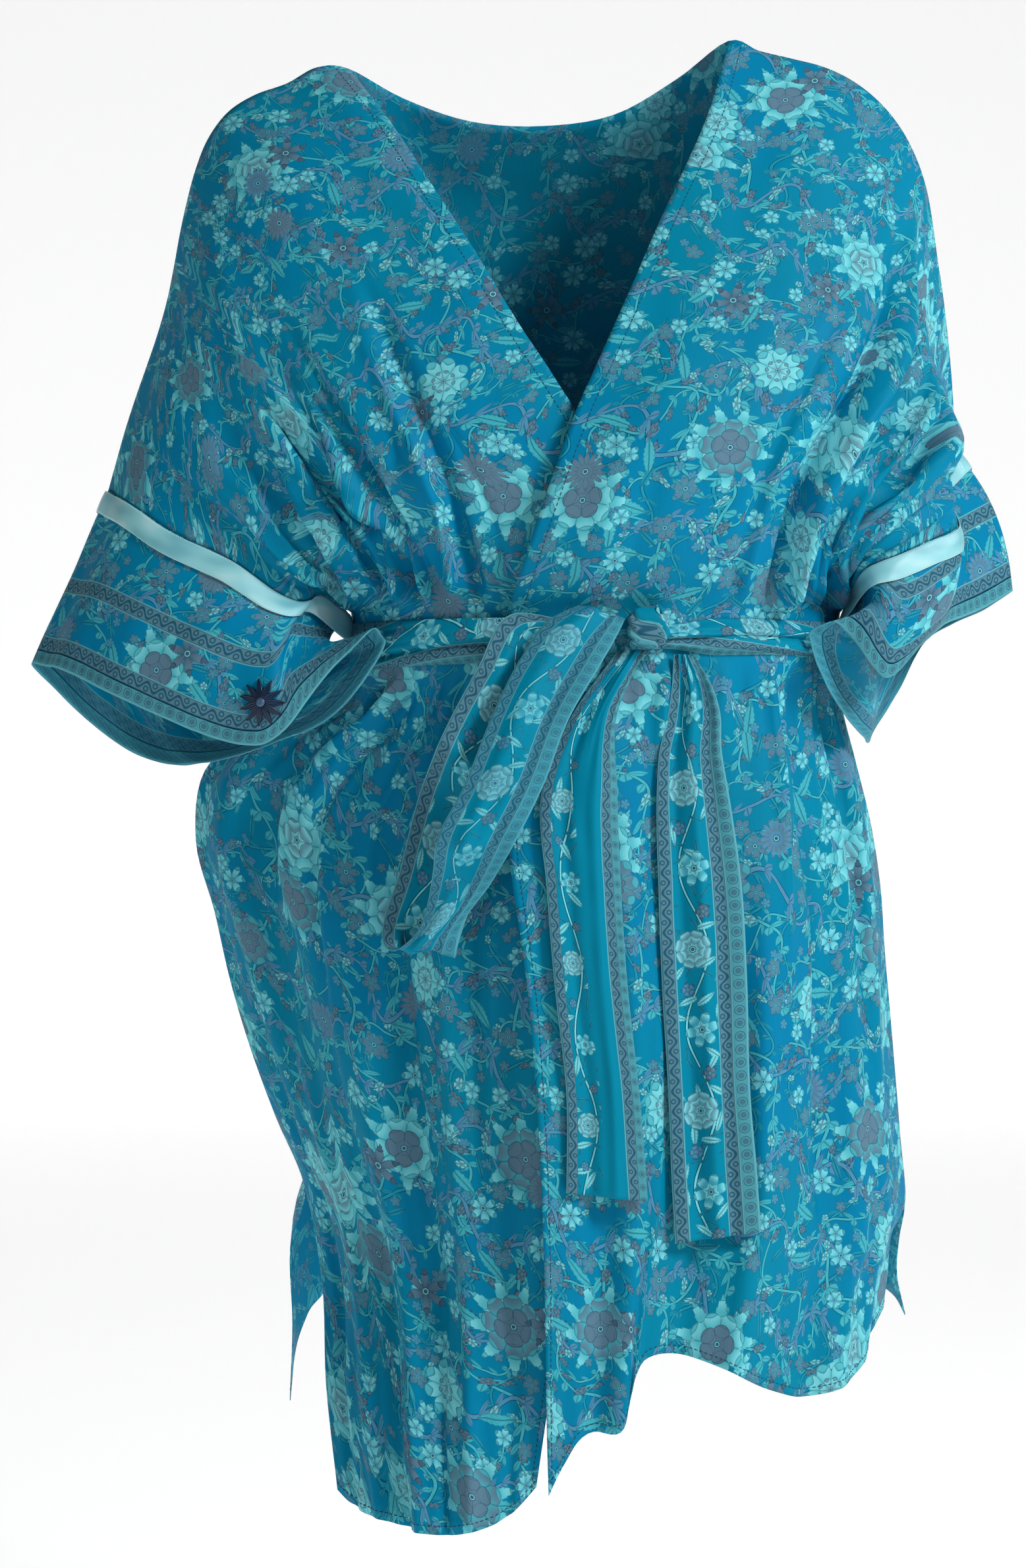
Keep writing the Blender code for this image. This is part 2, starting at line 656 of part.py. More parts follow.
def back_panel():
    """The outer face of the back, which runs from one sleeve seam to the other."""
    along = np.linspace(0, 1, FRONT_COLUMNS + 1)
    t = np.linspace(0, 1, UPPER_ROWS + 1)
    right = spline(SHOULDER_RIGHT, along)[::-1]
    neck = spline(BACK_NECK, np.linspace(0, 1, NECK_COLUMNS + 1))
    top = np.concatenate([right, neck[1:-1], spline(SHOULDER_LEFT, along)])
    s = np.linspace(0, 1, len(top))
    round_back = BACK_EVEN * s + (1 - BACK_EVEN) * (1 - np.cos(np.pi * s)) / 2
    start, end = 360 + SIDE_RIGHT, SIDE_LEFT
    top_row = waist_row(start, end, round_back, SASH_TOPS, 0.0)
    foot_row = waist_row(start, end, round_back, SASH_FEET, 0.0)
    seams = []
    ways = {"right": shoulder_ways(SHOULDER_RIGHT), "left": shoulder_ways(SHOULDER_LEFT)}
    for front, back, corner, side in (
        (CUFF_RIGHT_FRONT, CUFF_RIGHT_BACK, top_row[0], "right"),
        (CUFF_LEFT_FRONT, CUFF_LEFT_BACK, top_row[-1], "left"),
    ):
        stations = [front[0], *back[::-1], front[-1]]
        line, way_in, down = seam_frame(stations, t, ring_centre(front, back), ways[side][-1])
        line = line - down * SEAM_GAP / 2
        line[-1] = corner
        seams.append((line, way_in))
    top[0] = seams[0][0][0]
    top[-1] = seams[1][0][0]
    upper = patch(top, top_row, seams[0][0], seams[1][0])
    upper = upper + crease(upper, FOLDS_UPPER_BACK, 1, [0.0, 1.0], 1.0)
    right = side_edge(foot_row[0], SIDE_SEAM_RIGHT, BACK_SLIT_RIGHT)
    left = side_edge(foot_row[-1], SIDE_SEAM_LEFT, BACK_SLIT_LEFT)
    lower = patch(foot_row, spline(HEM_BACK, s), right, left)
    lower = lower + crease(lower, FOLDS_LOWER_BACK, 1, [0.0, 1.0], 0.0)
    grid = join_rows(upper, lower)
    grid[0, :, 1] += SEAM_GAP / 2
    grid[:, 0, 1] += SEAM_GAP / 2
    grid[:, -1, 1] += SEAM_GAP / 2
    rims = edge_ways(grid, seams[1][1], -1)
    rims.update(edge_ways(grid, seams[0][1], 0))
    last = len(s) - 1
    rims.update({(0, FRONT_COLUMNS - j): way for j, way in enumerate(ways["right"])})
    rims.update({(0, last - FRONT_COLUMNS + j): way for j, way in enumerate(ways["left"])})
    return grid, rims


def join_rows(upper, lower):
    """One grid from a panel's two patches and the rows under the sash between them."""
    drop = lower[0] - upper[-1]
    between = [upper[-1] + drop * k / SASH_ROWS for k in range(1, SASH_ROWS)]
    return np.concatenate([upper, np.array(between), lower])


def edge_ways(grid, way_in, column):
    """The way in at each point of a panel's sleeve seam and side seam."""
    ways = {}
    for i, way in enumerate(way_in):
        ways[i, column] = way
    side = grid[UPPER_ROWS:, column]
    middle = np.array([WAIST_X, 0.0, 0.0])
    for i, way in enumerate(in_xz(tangents(side), (middle - side) * (1, 0, 0))):
        ways[UPPER_ROWS + i, column] = way
    return ways


def cuff(front, back, shoulder):
    """The outer face of a cuff, rings from the sleeve seam to the hem."""
    crown = shoulder_ways(shoulder)[-1]
    t = np.linspace(0, 1, UPPER_ROWS + 1)
    sides = cuff_halves(front, back)
    rings = []
    for which in ("ribbon", "middle", "hem"):
        lines = [cuff_line(half, which, t)[:-1] for half in sides]
        rings.append(np.concatenate(lines))
    v = np.array(CUFF_LEVELS)[:, None, None]
    share = ((1 - v) * (1 - 2 * v), 4 * v * (1 - v), v * (2 * v - 1))
    grid = sum(k * ring[None] for k, ring in zip(share, rings))
    ways = []
    downs = []
    for half in sides:
        _, way_in, down = seam_frame(half, t, ring_centre(front, back), crown)
        ways.append(way_in[:-1])
        downs.append(down[:-1])
    front_near = ease(t[:-1], 1 - UNDERARM_REACH, 1.0)
    near = np.concatenate([front_near, ease(t[:-1], UNDERARM_REACH, 0.0)])[:, None]
    grid[0] = grid[0] + np.concatenate(downs) * (SEAM_GAP / 2 + UNDERARM_ROOM * near)
    rims = {(0, j): way for j, way in enumerate(np.concatenate(ways))}
    return grid, rims


def surface(grid, ring=False):
    """A tree for casting onto a grid."""
    rows, columns = grid.shape[:2]
    points = [tuple(p) for p in grid.reshape(-1, 3)]
    faces = []
    for i in range(rows - 1):
        for j in range(columns if ring else columns - 1):
            k = (j + 1) % columns
            a, b = i * columns + j, i * columns + k
            faces.extend(halves((a, b, b + columns, a + columns), False))
    return BVHTree.FromPolygons(points, faces)


def depth_at(trees, x, z, missing):
    """How far forward the first of some surfaces lies at a place seen from the front."""
    found = missing
    for tree in trees:
        hit = tree.ray_cast(Vector((x, -1.0, z)), Vector((0, 1, 0)))[0]
        if hit:
            found = min(found, hit.y)
    return found


def under_lap(under, over):
    """Keeps the under front behind the over front, and eases back past its edge."""
    spread = over[:, :1] - over[:, 1:2]
    wide = np.concatenate([over[:, :1] + spread * k for k in (LAP_REACH, 1)] + [over], axis=1)
    tree = surface(wide)
    edge = surface(over)
    for i in range(1, under.shape[0]):
        for j in range(under.shape[1]):
            x, y, z = under[i, j]
            hit = tree.ray_cast(Vector((x, -1.0, z)), Vector((0, 1, 0)))[0]
            if not hit:
                continue
            beyond = 0.0
            if not edge.ray_cast(Vector((x, -1.0, z)), Vector((0, 1, 0)))[0]:
                beyond = edge.find_nearest(Vector((x, hit.y, z)))[3]
            under[i, j, 1] = max(y, hit.y + LAP_GAP - LAP_SLOPE * beyond)
    return under


def strip(sections, steps, trees):
    """A hanging stretch of sash, which lies clear of the fronts that it hangs before."""
    t = np.linspace(0, 1, steps + 1)
    left = spline([(s.left_x, s.lift, s.left_z) for s in sections], t)
    right = spline([(s.right_x, s.lift, s.right_z) for s in sections], t)
    grid = np.zeros((steps + 1, STRIP_COLUMNS + 1, 3))
    for j in range(STRIP_COLUMNS + 1):
        k = j / STRIP_COLUMNS
        grid[:, j] = left + (right - left) * k
        grid[:, j, 1] += STRIP_BOW * 4 * k * (1 - k)
    lift = grid[..., 1].copy()
    base = np.array([[depth_at(trees, p[0], p[2], FAR_BACK) for p in row] for row in grid])
    for _ in range(SMOOTHINGS):
        base[1:-1] = np.minimum(base[1:-1], (base[:-2] + base[1:-1] + base[2:]) / 3)
        flat = base.min(axis=1, keepdims=True)
        base = np.minimum(base, flat + STRIP_DIP)
    grid[..., 1] = base - lift
    return grid


def band():
    """The sash round the waist, a flat tube that the knot joins in front."""
    rings = []
    for i in range(BAND_STEPS + 1):
        k = i / BAND_STEPS
        turn = BAND_START + BAND_TURNS * k
        top = sash_level(turn, SASH_TOP, SASH_TOP_LEFT) - BAND_DROP
        foot = sash_level(turn, SASH_FOOT, SASH_FOOT_LEFT) + BAND_INSET
        middle, half = (top + foot) / 2, (top - foot) / 2
        ring = []
        for c in range(BAND_CORNERS):
            angle = 2 * math.pi * (c + 0.5) / BAND_CORNERS
            out = BAND_CLEAR + BAND_THICK / 2 + BAND_THICK / 2 * flat_power(math.cos(angle))
            ring.append(waist(turn, middle + half * flat_power(math.sin(angle)), out))
        rings.append(ring)
    return tube("sash_band", np.array(rings))


def flat_power(value):
    """A cosine or sine that stays near 1, for a section with round corners."""
    return math.copysign(abs(value) ** SQUARISH, value)


def knot():
    """The tied knot: a squarish lump with gathers fanning from its side."""
    rings = []
    for i in range(KNOT_ROWS + 1):
        lean = math.pi * (KNOT_CAP + (1 - 2 * KNOT_CAP) * i / KNOT_ROWS)
        wide = abs(math.sin(lean)) ** KNOT_BOX
        ring = []
        for c in range(KNOT_SIDES):
            angle = 2 * math.pi * c / KNOT_SIDES
            pleat = 1 + KNOT_PLEAT * math.cos(KNOT_PLEATS * angle) * wide
            x = KNOT_AT.x + KNOT_HALF.x * wide * pleat * flat_power(math.cos(angle))
            y = KNOT_AT.y - KNOT_HALF.y * wide * flat_power(math.sin(angle))
            z = KNOT_AT.z + KNOT_HALF.z * math.cos(lean) * (1 + KNOT_TILT * math.cos(angle))
            ring.append((x, y, z))
        rings.append(ring)
    return tube("sash_knot", np.array(rings))


def flower(grid):
    """The sewn flower: narrow petals with ridges, which follow the cuff that it lies on."""
    u, v = FLOWER_PLACE
    row = np.interp(v, CUFF_LEVELS, range(len(CUFF_LEVELS)))
    column = u * UPPER_ROWS
    i, j = int(row), int(column)
    a, b = row - i, column - j
    centre = (1 - a) * ((1 - b) * grid[i, j] + b * grid[i, j + 1])
    centre = centre + a * ((1 - b) * grid[i + 1, j] + b * grid[i + 1, j + 1])
    tree = surface(grid, ring=True)
    normal = np.array(tree.find_nearest(Vector(centre))[1])
    if normal[1] > 0:
        normal = -normal
    across = unit(np.cross(normal, (0, 0, 1)))
    up = np.cross(across, normal)
    spokes = FLOWER_PETALS * FLOWER_SPOKES
    rings = []
    for share in FLOWER_SHARES:
        low, high = [], []
        for k in range(spokes):
            angle = 2 * math.pi * k / spokes
            petal = abs(math.cos(FLOWER_PETALS * angle / 2))
            reach = FLOWER_RADIUS * share
            if share > FLOWER_EYE:
                spread = FLOWER_NOTCH + (1 - FLOWER_NOTCH) * petal
                reach = FLOWER_RADIUS * (FLOWER_EYE + (share - FLOWER_EYE) * spread)
            flat = centre + reach * (math.cos(angle) * across + math.sin(angle) * up)
            start = Vector(flat + FLOWER_CAST * normal)
            spot = np.array(tree.ray_cast(start, Vector(-normal))[0])
            low.append(spot + FLOWER_CLEAR * normal)
            rise = FLOWER_THICK * (1 - FLOWER_RIDGE * (1 - petal)) * (1.15 - FLOWER_SLOPE * share)
            high.append(spot + (FLOWER_CLEAR + rise) * normal)
        rings.append((low, high))
    rows = [low for low, high in rings[::-1]] + [high for low, high in rings]
    return tube("sewn_flower", np.array(rows))


def main():
    """Makes every piece."""
    for obj in list(bpy.data.objects):
        bpy.data.objects.remove(obj, do_unlink=True)
    cloth = material("printed_silk", CLOTH_BLUE, 0.55)
    border = material("border_silk", BORDER_BLUE, 0.55)
    satin = material("satin", SATIN_AQUA, 0.25)
    navy = material("navy_trim", NAVY, 0.3)
    over, over_rims = front_panel(LEFT)
    under, under_rims = front_panel(RIGHT)
    under = under_lap(under, over)
    back, back_rims = back_panel()
    pieces = [
        (wall("front_left", over, CLOTH, LEFT["turn"], inward=over_rims), cloth),
        (wall("front_right", under, CLOTH, RIGHT["turn"], inward=under_rims), cloth),
        (wall("back", back, CLOTH, 1, inward=back_rims), cloth),
    ]
    for side, turn, front, rear, shoulder in (
        ("right", -1, CUFF_RIGHT_FRONT, CUFF_RIGHT_BACK, SHOULDER_RIGHT),
        ("left", 1, CUFF_LEFT_FRONT, CUFF_LEFT_BACK, SHOULDER_LEFT),
    ):
        grid, rims = cuff(front, rear, shoulder)
        pieces.append((wall(f"cuff_{side}", grid, CLOTH, turn, ring=True, inward=rims), border))
        out = turn * normals(grid, ring=True)
        raised = grid[:2] + out[:2] * (RIBBON_GAP + SATIN)
        shares = (RIBBON_FROM, RIBBON_TO)
        near = np.array([raised[0] * (1 - k) + raised[1] * k for k in shares])
        ways = -unit(np.array([out[0] * (1 - k) + out[1] * k for k in shares]))
        pieces.append((wall(f"ribbon_{side}", near, SATIN, turn, True, ways=ways), satin))
        if side == "right":
            pieces.append((flower(grid), navy))
    trees = [surface(over), surface(under)]
    inner = strip(TAIL_INNER, TAIL_INNER_STEPS, trees)
    outer = strip(TAIL_OUTER, TAIL_OUTER_STEPS, trees)
    loop = strip(LOOP, LOOP_STEPS, trees)
    pieces.append((wall("sash_tail_inner", inner, SASH_CLOTH, -1), border))
    pieces.append((wall("sash_tail_outer", outer, SASH_CLOTH, -1), border))
    pieces.append((wall("sash_loop", loop, SASH_CLOTH, -1), border))
    pieces.append((band(), border))
    pieces.append((knot(), border))
    for obj, finish in pieces:
        obj.data.materials.append(finish)


RIGHT = {
    "turn": 1,
    "out": -0.006,
    "edge": UNDER_EDGE,
    "side": SIDE_RIGHT,
    "front": CUFF_RIGHT_FRONT,
    "back": CUFF_RIGHT_BACK,
    "shoulder": SHOULDER_RIGHT,
    "neck": NECK_RIGHT,
    "front_edge": FRONT_EDGE_RIGHT,
    "seam": SIDE_SEAM_RIGHT,
    "slit": FRONT_SLIT_RIGHT,
    "hem": HEM_RIGHT,
    "upper_folds": FOLDS_UPPER_RIGHT,
    "lower_folds": FOLDS_LOWER_RIGHT,
}
LEFT = {
    "turn": -1,
    "out": 0.0,
    "edge": LAP_EDGE,
    "side": SIDE_LEFT,
    "front": CUFF_LEFT_FRONT,
    "back": CUFF_LEFT_BACK,
    "shoulder": SHOULDER_LEFT,
    "neck": NECK_LEFT,
    "front_edge": FRONT_EDGE_LEFT,
    "seam": SIDE_SEAM_LEFT,
    "slit": FRONT_SLIT_LEFT,
    "hem": HEM_LEFT,
    "upper_folds": FOLDS_UPPER_LEFT,
    "lower_folds": FOLDS_LOWER_LEFT,
}

if __name__ == "__main__":
    main()
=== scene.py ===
"""Looks of the kimono jacket: cloth, print, borders, ribbon, stitches, light and camera.

Metres, in the row's frame. Each piece of cloth is a thin shell on the outer face of its
solid, so the tables and the functions for that face are the ones that the solids use.
The shell then gets finer rows and columns, finer folds and its hems.
"""

import math
import random
from collections import namedtuple

import bpy
import numpy as np
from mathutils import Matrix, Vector, noise
from mathutils.bvhtree import BVHTree


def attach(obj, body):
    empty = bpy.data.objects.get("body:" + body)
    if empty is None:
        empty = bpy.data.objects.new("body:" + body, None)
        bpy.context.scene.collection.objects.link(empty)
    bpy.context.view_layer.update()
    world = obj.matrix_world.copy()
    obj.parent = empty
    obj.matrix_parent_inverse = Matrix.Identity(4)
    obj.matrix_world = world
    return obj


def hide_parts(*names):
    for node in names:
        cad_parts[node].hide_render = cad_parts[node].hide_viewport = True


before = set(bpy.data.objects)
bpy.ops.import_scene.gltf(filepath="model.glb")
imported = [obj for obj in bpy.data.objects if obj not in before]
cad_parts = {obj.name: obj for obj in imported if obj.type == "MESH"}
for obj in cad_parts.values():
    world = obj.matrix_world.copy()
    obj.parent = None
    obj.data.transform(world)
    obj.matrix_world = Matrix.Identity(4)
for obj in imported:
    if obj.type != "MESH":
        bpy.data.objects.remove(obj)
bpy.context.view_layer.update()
CAMERA_AT = (-0.026, -2.0, -0.474)
CAMERA_LENS = 71.1

# Faces of the solids: the gaps between pieces, how the fronts lap, how the columns gather
# and where the folds fade
SEAM_GAP = 0.0004
RIBBON_GAP = 0.0009
LAP_GAP = 0.0045
LAP_REACH = 4.0
LAP_SLOPE = 0.35
GATHER = 1.25
BACK_EVEN = 0.55
FOLD_ROOM = 0.011
SASH_PRESS = 0.20
SEAM_PRESS = 0.15
FOLD_EARLY = 0.12
FOLD_LATE = 0.28
FOLD_FADE = 0.25
LAP_FADE = (0.35, 0.75)
UNDERARM_ROOM = 0.0015
UNDERARM_FROM = 0.8

# Waist: an oval, its middle and half sizes, and the levels of the tied sash
WAIST_X = 0.027
WAIST_Y = -0.005
WAIST_HALF_WIDTH = 0.157
WAIST_HALF_DEPTH = 0.105
SASH_TOPS = (-0.366, -0.366)
SASH_FEET = (-0.404, -0.394)

# Turns round the waist oval in degrees: 0 is the front, -90 the wearer's right side
SIDE_RIGHT = -81.0
SIDE_LEFT = 83.0
LAP_EDGE = -20.5
UNDER_EDGE = 11.0

# Cells across and along each piece
FRONT_COLUMNS = 16
NECK_COLUMNS = 6
UPPER_ROWS = 16
SASH_ROWS = 2
SEAM_ROWS = 9
SLIT_ROWS = 3
CUFF_LEVELS = (0.0, 0.14, 0.36, 0.58, 0.80, 1.0)
STRIP_COLUMNS = 4

# The lines of a cuff: a station has a point on each
SEAM_LINE = 0
MIDDLE_LINE = 1
HEM_LINE = 2


def waist(turn, z, out=0.0):
    """A point on the waist oval at a turn in degrees, moved out from it."""
    angle = math.radians(turn)
    x = WAIST_X + (WAIST_HALF_WIDTH + out) * math.sin(angle)
    y = WAIST_Y - (WAIST_HALF_DEPTH + out) * math.cos(angle)
    return x, y, z


def sash_level(turn, levels):
    """The height of a sash edge, which runs from its right level to its left one."""
    right, left = levels
    return right + (left - right) * (0.5 + 0.5 * math.sin(math.radians(turn)))


# Edges of the panels from the neck outwards or downwards: x, y and z of each point
SHOULDER_RIGHT = [
    (-0.132, 0, -0.012), (-0.145, 0, -0.009), (-0.166, 0, -0.019), (-0.208, 0, -0.038), (-0.225, 0, -0.061),
    (-0.235, 0, -0.092), (-0.251, 0, -0.168), (-0.276, 0, -0.244), (-0.287, -0.003, -0.285),
]
SHOULDER_LEFT = [
    (0.113, 0, 0.006), (0.128, 0, 0.001), (0.192, 0, -0.019), (0.213, 0, -0.036), (0.226, 0, -0.053),
    (0.235, 0, -0.071), (0.249, 0.002, -0.138), (0.258, 0.004, -0.214), (0.2605, 0.005, -0.258),
]
NECK_RIGHT = [
    (-0.132, 0, -0.012), (-0.109, -0.03, -0.046), (-0.058, -0.08, -0.131), (-0.017, -0.11, -0.201),
    (0.012, -0.121, -0.247), (0.032, -0.119, -0.283), (0.047, -0.11, -0.325),
]
NECK_LEFT = [
    (0.113, 0, 0.006), (0.1, -0.03, -0.042), (0.064, -0.082, -0.127), (0.031, -0.118, -0.205),
    (0.012, -0.131, -0.248), (-0.002, -0.132, -0.287), (-0.017, -0.125, -0.331),
]
BACK_NECK = [
    (-0.132, 0, -0.012), (-0.105, 0.026, -0.022), (-0.055, 0.046, -0.036), (-0.008, 0.052, -0.038),
    (0.04, 0.046, -0.032), (0.088, 0.026, -0.008), (0.113, 0, 0.006),
]
FRONT_EDGE_RIGHT = [
    (0.046, -0.112, -0.46), (0.033, -0.12, -0.56), (0.014, -0.122, -0.72), (-0.012, -0.123, -0.9),
]
FRONT_EDGE_LEFT = [
    (-0.029, -0.126, -0.45), (-0.028, -0.134, -0.518), (-0.017, -0.137, -0.598), (-0.012, -0.137, -0.662),
    (-0.004, -0.136, -0.903),
]
SIDE_SEAM_RIGHT = [
    (-0.154, 0.016, -0.424), (-0.2, 0.036, -0.44), (-0.229, 0.046, -0.464), (-0.236, 0.046, -0.506),
    (-0.225, 0.04, -0.548), (-0.207, 0.035, -0.621), (-0.189, 0.03, -0.673), (-0.162, 0.02, -0.736),
]
SIDE_SEAM_LEFT = [
    (0.188, 0.012, -0.425), (0.201, 0.022, -0.472), (0.211, 0.022, -0.517), (0.217, 0.022, -0.586),
    (0.226, 0.022, -0.693), (0.23, 0.022, -0.746),
]
FRONT_SLIT_RIGHT = [
    (-0.151, 0.002, -0.78), (-0.146, -0.03, -0.843), (-0.136, -0.06, -0.916),
]
FRONT_SLIT_LEFT = [
    (0.219, 0.012, -0.77), (0.216, 0.005, -0.798), (0.213, -0.002, -0.812),
]
BACK_SLIT_RIGHT = [
    (-0.171, 0.04, -0.761), (-0.174, 0.06, -0.812), (-0.173, 0.07, -0.848), (-0.176, 0.08, -0.888),
]
BACK_SLIT_LEFT = [
    (0.228, 0.038, -0.775), (0.228, 0.05, -0.795), (0.235, 0.06, -0.827),
]
HEM_RIGHT = [
    (-0.012, -0.123, -0.9), (-0.029, -0.128, -0.917), (-0.061, -0.124, -0.929), (-0.082, -0.114, -0.93),
    (-0.098, -0.1, -0.928), (-0.126, -0.072, -0.923), (-0.136, -0.06, -0.916),
]
HEM_LEFT = [
    (-0.004, -0.136, -0.903), (0.003, -0.134, -0.889), (0.017, -0.132, -0.867), (0.037, -0.132, -0.866),
    (0.047, -0.131, -0.836), (0.055, -0.131, -0.82), (0.082, -0.129, -0.82), (0.11, -0.124, -0.834),
    (0.134, -0.115, -0.844), (0.158, -0.1, -0.85), (0.174, -0.082, -0.847), (0.193, -0.048, -0.832),
    (0.213, -0.002, -0.812),
]
HEM_BACK = [
    (-0.176, 0.08, -0.888), (-0.171, 0.083, -0.848), (-0.158, 0.088, -0.82), (-0.12, 0.104, -0.806),
    (-0.06, 0.118, -0.803), (0.02, 0.122, -0.803), (0.1, 0.115, -0.801), (0.165, 0.098, -0.8),
    (0.212, 0.074, -0.806), (0.226, 0.066, -0.812), (0.235, 0.06, -0.827),
]

UNDERARM_RIGHT = waist(SIDE_RIGHT, SASH_TOPS[0])
UNDERARM_LEFT = waist(SIDE_LEFT, SASH_TOPS[1])

# Stations of the cuffs, from the top of the sleeve round to the underarm: a point on the
# seam, one in the middle and one on the hem
CUFF_RIGHT_FRONT = [
    ((-0.287, -0.003, -0.285), (-0.313, -0.003, -0.344), (-0.337, 0, -0.397)),
    ((-0.268, -0.034, -0.296), (-0.292, -0.038, -0.352), (-0.314, -0.032, -0.401)),
    ((-0.239, -0.055, -0.316), (-0.262, -0.062, -0.368), (-0.279, -0.058, -0.417)),
    ((-0.202, -0.068, -0.334), (-0.225, -0.08, -0.386), (-0.241, -0.074, -0.434)),
    ((-0.175, -0.07, -0.353), (-0.192, -0.09, -0.4), (-0.203, -0.084, -0.448)),
    ((-0.158, -0.062, -0.36), (-0.172, -0.094, -0.402), (-0.172, -0.094, -0.446)),
    ((-0.147, -0.046, -0.354), (-0.163, -0.078, -0.391), (-0.139, -0.097, -0.405)),
    (UNDERARM_RIGHT, (-0.142, -0.056, -0.384), (-0.112, -0.084, -0.378)),
]
CUFF_RIGHT_BACK = [
    ((-0.134, -0.007, -0.3615), (-0.142, -0.038, -0.39), (-0.106, -0.078, -0.39)),
    ((-0.148, 0, -0.357), (-0.157, -0.04, -0.406), (-0.135, -0.082, -0.43)),
    ((-0.166, 0.01, -0.354), (-0.177, -0.03, -0.418), (-0.17, -0.074, -0.447)),
    ((-0.195, 0.024, -0.352), (-0.207, -0.005, -0.416), (-0.222, -0.034, -0.461)),
    ((-0.232, 0.036, -0.338), (-0.25, 0.028, -0.4), (-0.266, 0.016, -0.457)),
    ((-0.264, 0.03, -0.309), (-0.288, 0.034, -0.368), (-0.306, 0.038, -0.432)),
]
CUFF_LEFT_FRONT = [
    ((0.2605, 0.005, -0.258), (0.287, 0.012, -0.299), (0.3, 0.02, -0.348)),
    ((0.249, -0.014, -0.272), (0.262, -0.006, -0.318), (0.277, 0.002, -0.361)),
    ((0.25, -0.038, -0.294), (0.254, -0.032, -0.336), (0.252, -0.026, -0.371)),
    ((0.2525, -0.058, -0.312), (0.2535, -0.058, -0.346), (0.238, -0.05, -0.38)),
    ((0.236, -0.07, -0.321), (0.238, -0.074, -0.36), (0.224, -0.066, -0.394)),
    ((0.212, -0.076, -0.332), (0.215, -0.083, -0.364), (0.205, -0.077, -0.408)),
    ((0.193, -0.07, -0.34), (0.202, -0.084, -0.362), (0.188, -0.083, -0.389)),
    ((0.187, -0.045, -0.352), (0.196, -0.074, -0.361), (0.172, -0.084, -0.373)),
    (UNDERARM_LEFT, (0.19, -0.056, -0.375), (0.158, -0.08, -0.38)),
]
CUFF_LEFT_BACK = [
    ((0.188, -0.004, -0.36), (0.197, -0.04, -0.39), (0.16, -0.076, -0.391)),
    ((0.195, 0.009, -0.355), (0.203, -0.024, -0.399), (0.172, -0.066, -0.418)),
    ((0.203, 0.024, -0.35), (0.208, -0.002, -0.408), (0.198, -0.026, -0.445)),
    ((0.216, 0.042, -0.346), (0.216, 0.03, -0.404), (0.208, 0.028, -0.442)),
    ((0.232, 0.054, -0.334), (0.234, 0.052, -0.38), (0.231, 0.05, -0.408)),
    ((0.25, 0.056, -0.308), (0.256, 0.06, -0.35), (0.25, 0.055, -0.377)),
    ((0.262, 0.036, -0.274), (0.276, 0.046, -0.318), (0.283, 0.046, -0.36)),
]

# Folds: the column at the head and at the foot, from 0 at the first edge to 1 at the
# last, the half width, the depth (a ridge is positive) and the rows that it spans
FOLDS_UPPER_RIGHT = [
    (0.36, 0.48, 0.05, 0.004, 0.45, 1), (0.46, 0.6, 0.045, -0.006, 0.35, 1),
    (0.56, 0.7, 0.04, 0.007, 0.3, 1), (0.67, 0.78, 0.04, -0.008, 0.34, 1),
    (0.78, 0.86, 0.04, 0.007, 0.2, 1), (0.88, 0.92, 0.035, -0.003, 0.4, 1),
]
FOLDS_UPPER_LEFT = [
    (0.16, 0.1, 0.05, 0.005, 0.62, 1), (0.5, 0.74, 0.06, -0.01, 0.24, 1), (0.59, 0.8, 0.035, 0.01, 0.2, 1),
    (0.69, 0.86, 0.045, -0.012, 0.16, 1), (0.79, 0.91, 0.04, 0.011, 0.14, 1),
    (0.89, 0.95, 0.04, -0.007, 0.2, 1),
]
FOLDS_LOWER_RIGHT = [
    (0.3, 0.24, 0.05, 0.006, 0, 0.95), (0.44, 0.4, 0.05, -0.007, 0, 0.9),
    (0.6, 0.56, 0.055, 0.008, 0, 0.75), (0.74, 0.72, 0.055, -0.013, 0, 0.7),
    (0.86, 0.86, 0.05, 0.008, 0, 0.6),
]
FOLDS_LOWER_LEFT = [
    (0.18, 0.2, 0.05, 0.005, 0.1, 1), (0.34, 0.33, 0.04, -0.006, 0, 0.8), (0.52, 0.5, 0.05, 0.007, 0, 1.1),
    (0.68, 0.66, 0.05, -0.007, 0, 0.8), (0.82, 0.8, 0.05, 0.008, 0, 1.05),
]
FOLDS_UPPER_BACK = [
    (0.14, 0.09, 0.03, 0.008, 0.25, 1), (0.21, 0.15, 0.03, -0.008, 0.3, 1),
    (0.29, 0.24, 0.03, 0.006, 0.45, 1), (0.43, 0.4, 0.03, -0.004, 0.6, 1),
    (0.58, 0.6, 0.03, 0.004, 0.55, 1), (0.72, 0.77, 0.03, 0.006, 0.42, 1),
    (0.8, 0.85, 0.03, -0.009, 0.28, 1), (0.87, 0.92, 0.03, 0.008, 0.22, 1),
]
FOLDS_LOWER_BACK = [
    (0.12, 0.13, 0.035, 0.009, 0, 0.9), (0.22, 0.22, 0.03, -0.009, 0, 1),
    (0.33, 0.31, 0.035, 0.009, 0, 1.1), (0.44, 0.44, 0.03, -0.008, 0, 0.9),
    (0.54, 0.55, 0.035, 0.008, 0, 1.1), (0.66, 0.66, 0.03, -0.009, 0, 1),
    (0.77, 0.78, 0.035, 0.009, 0, 1.1), (0.88, 0.88, 0.03, -0.008, 0, 0.8),
]

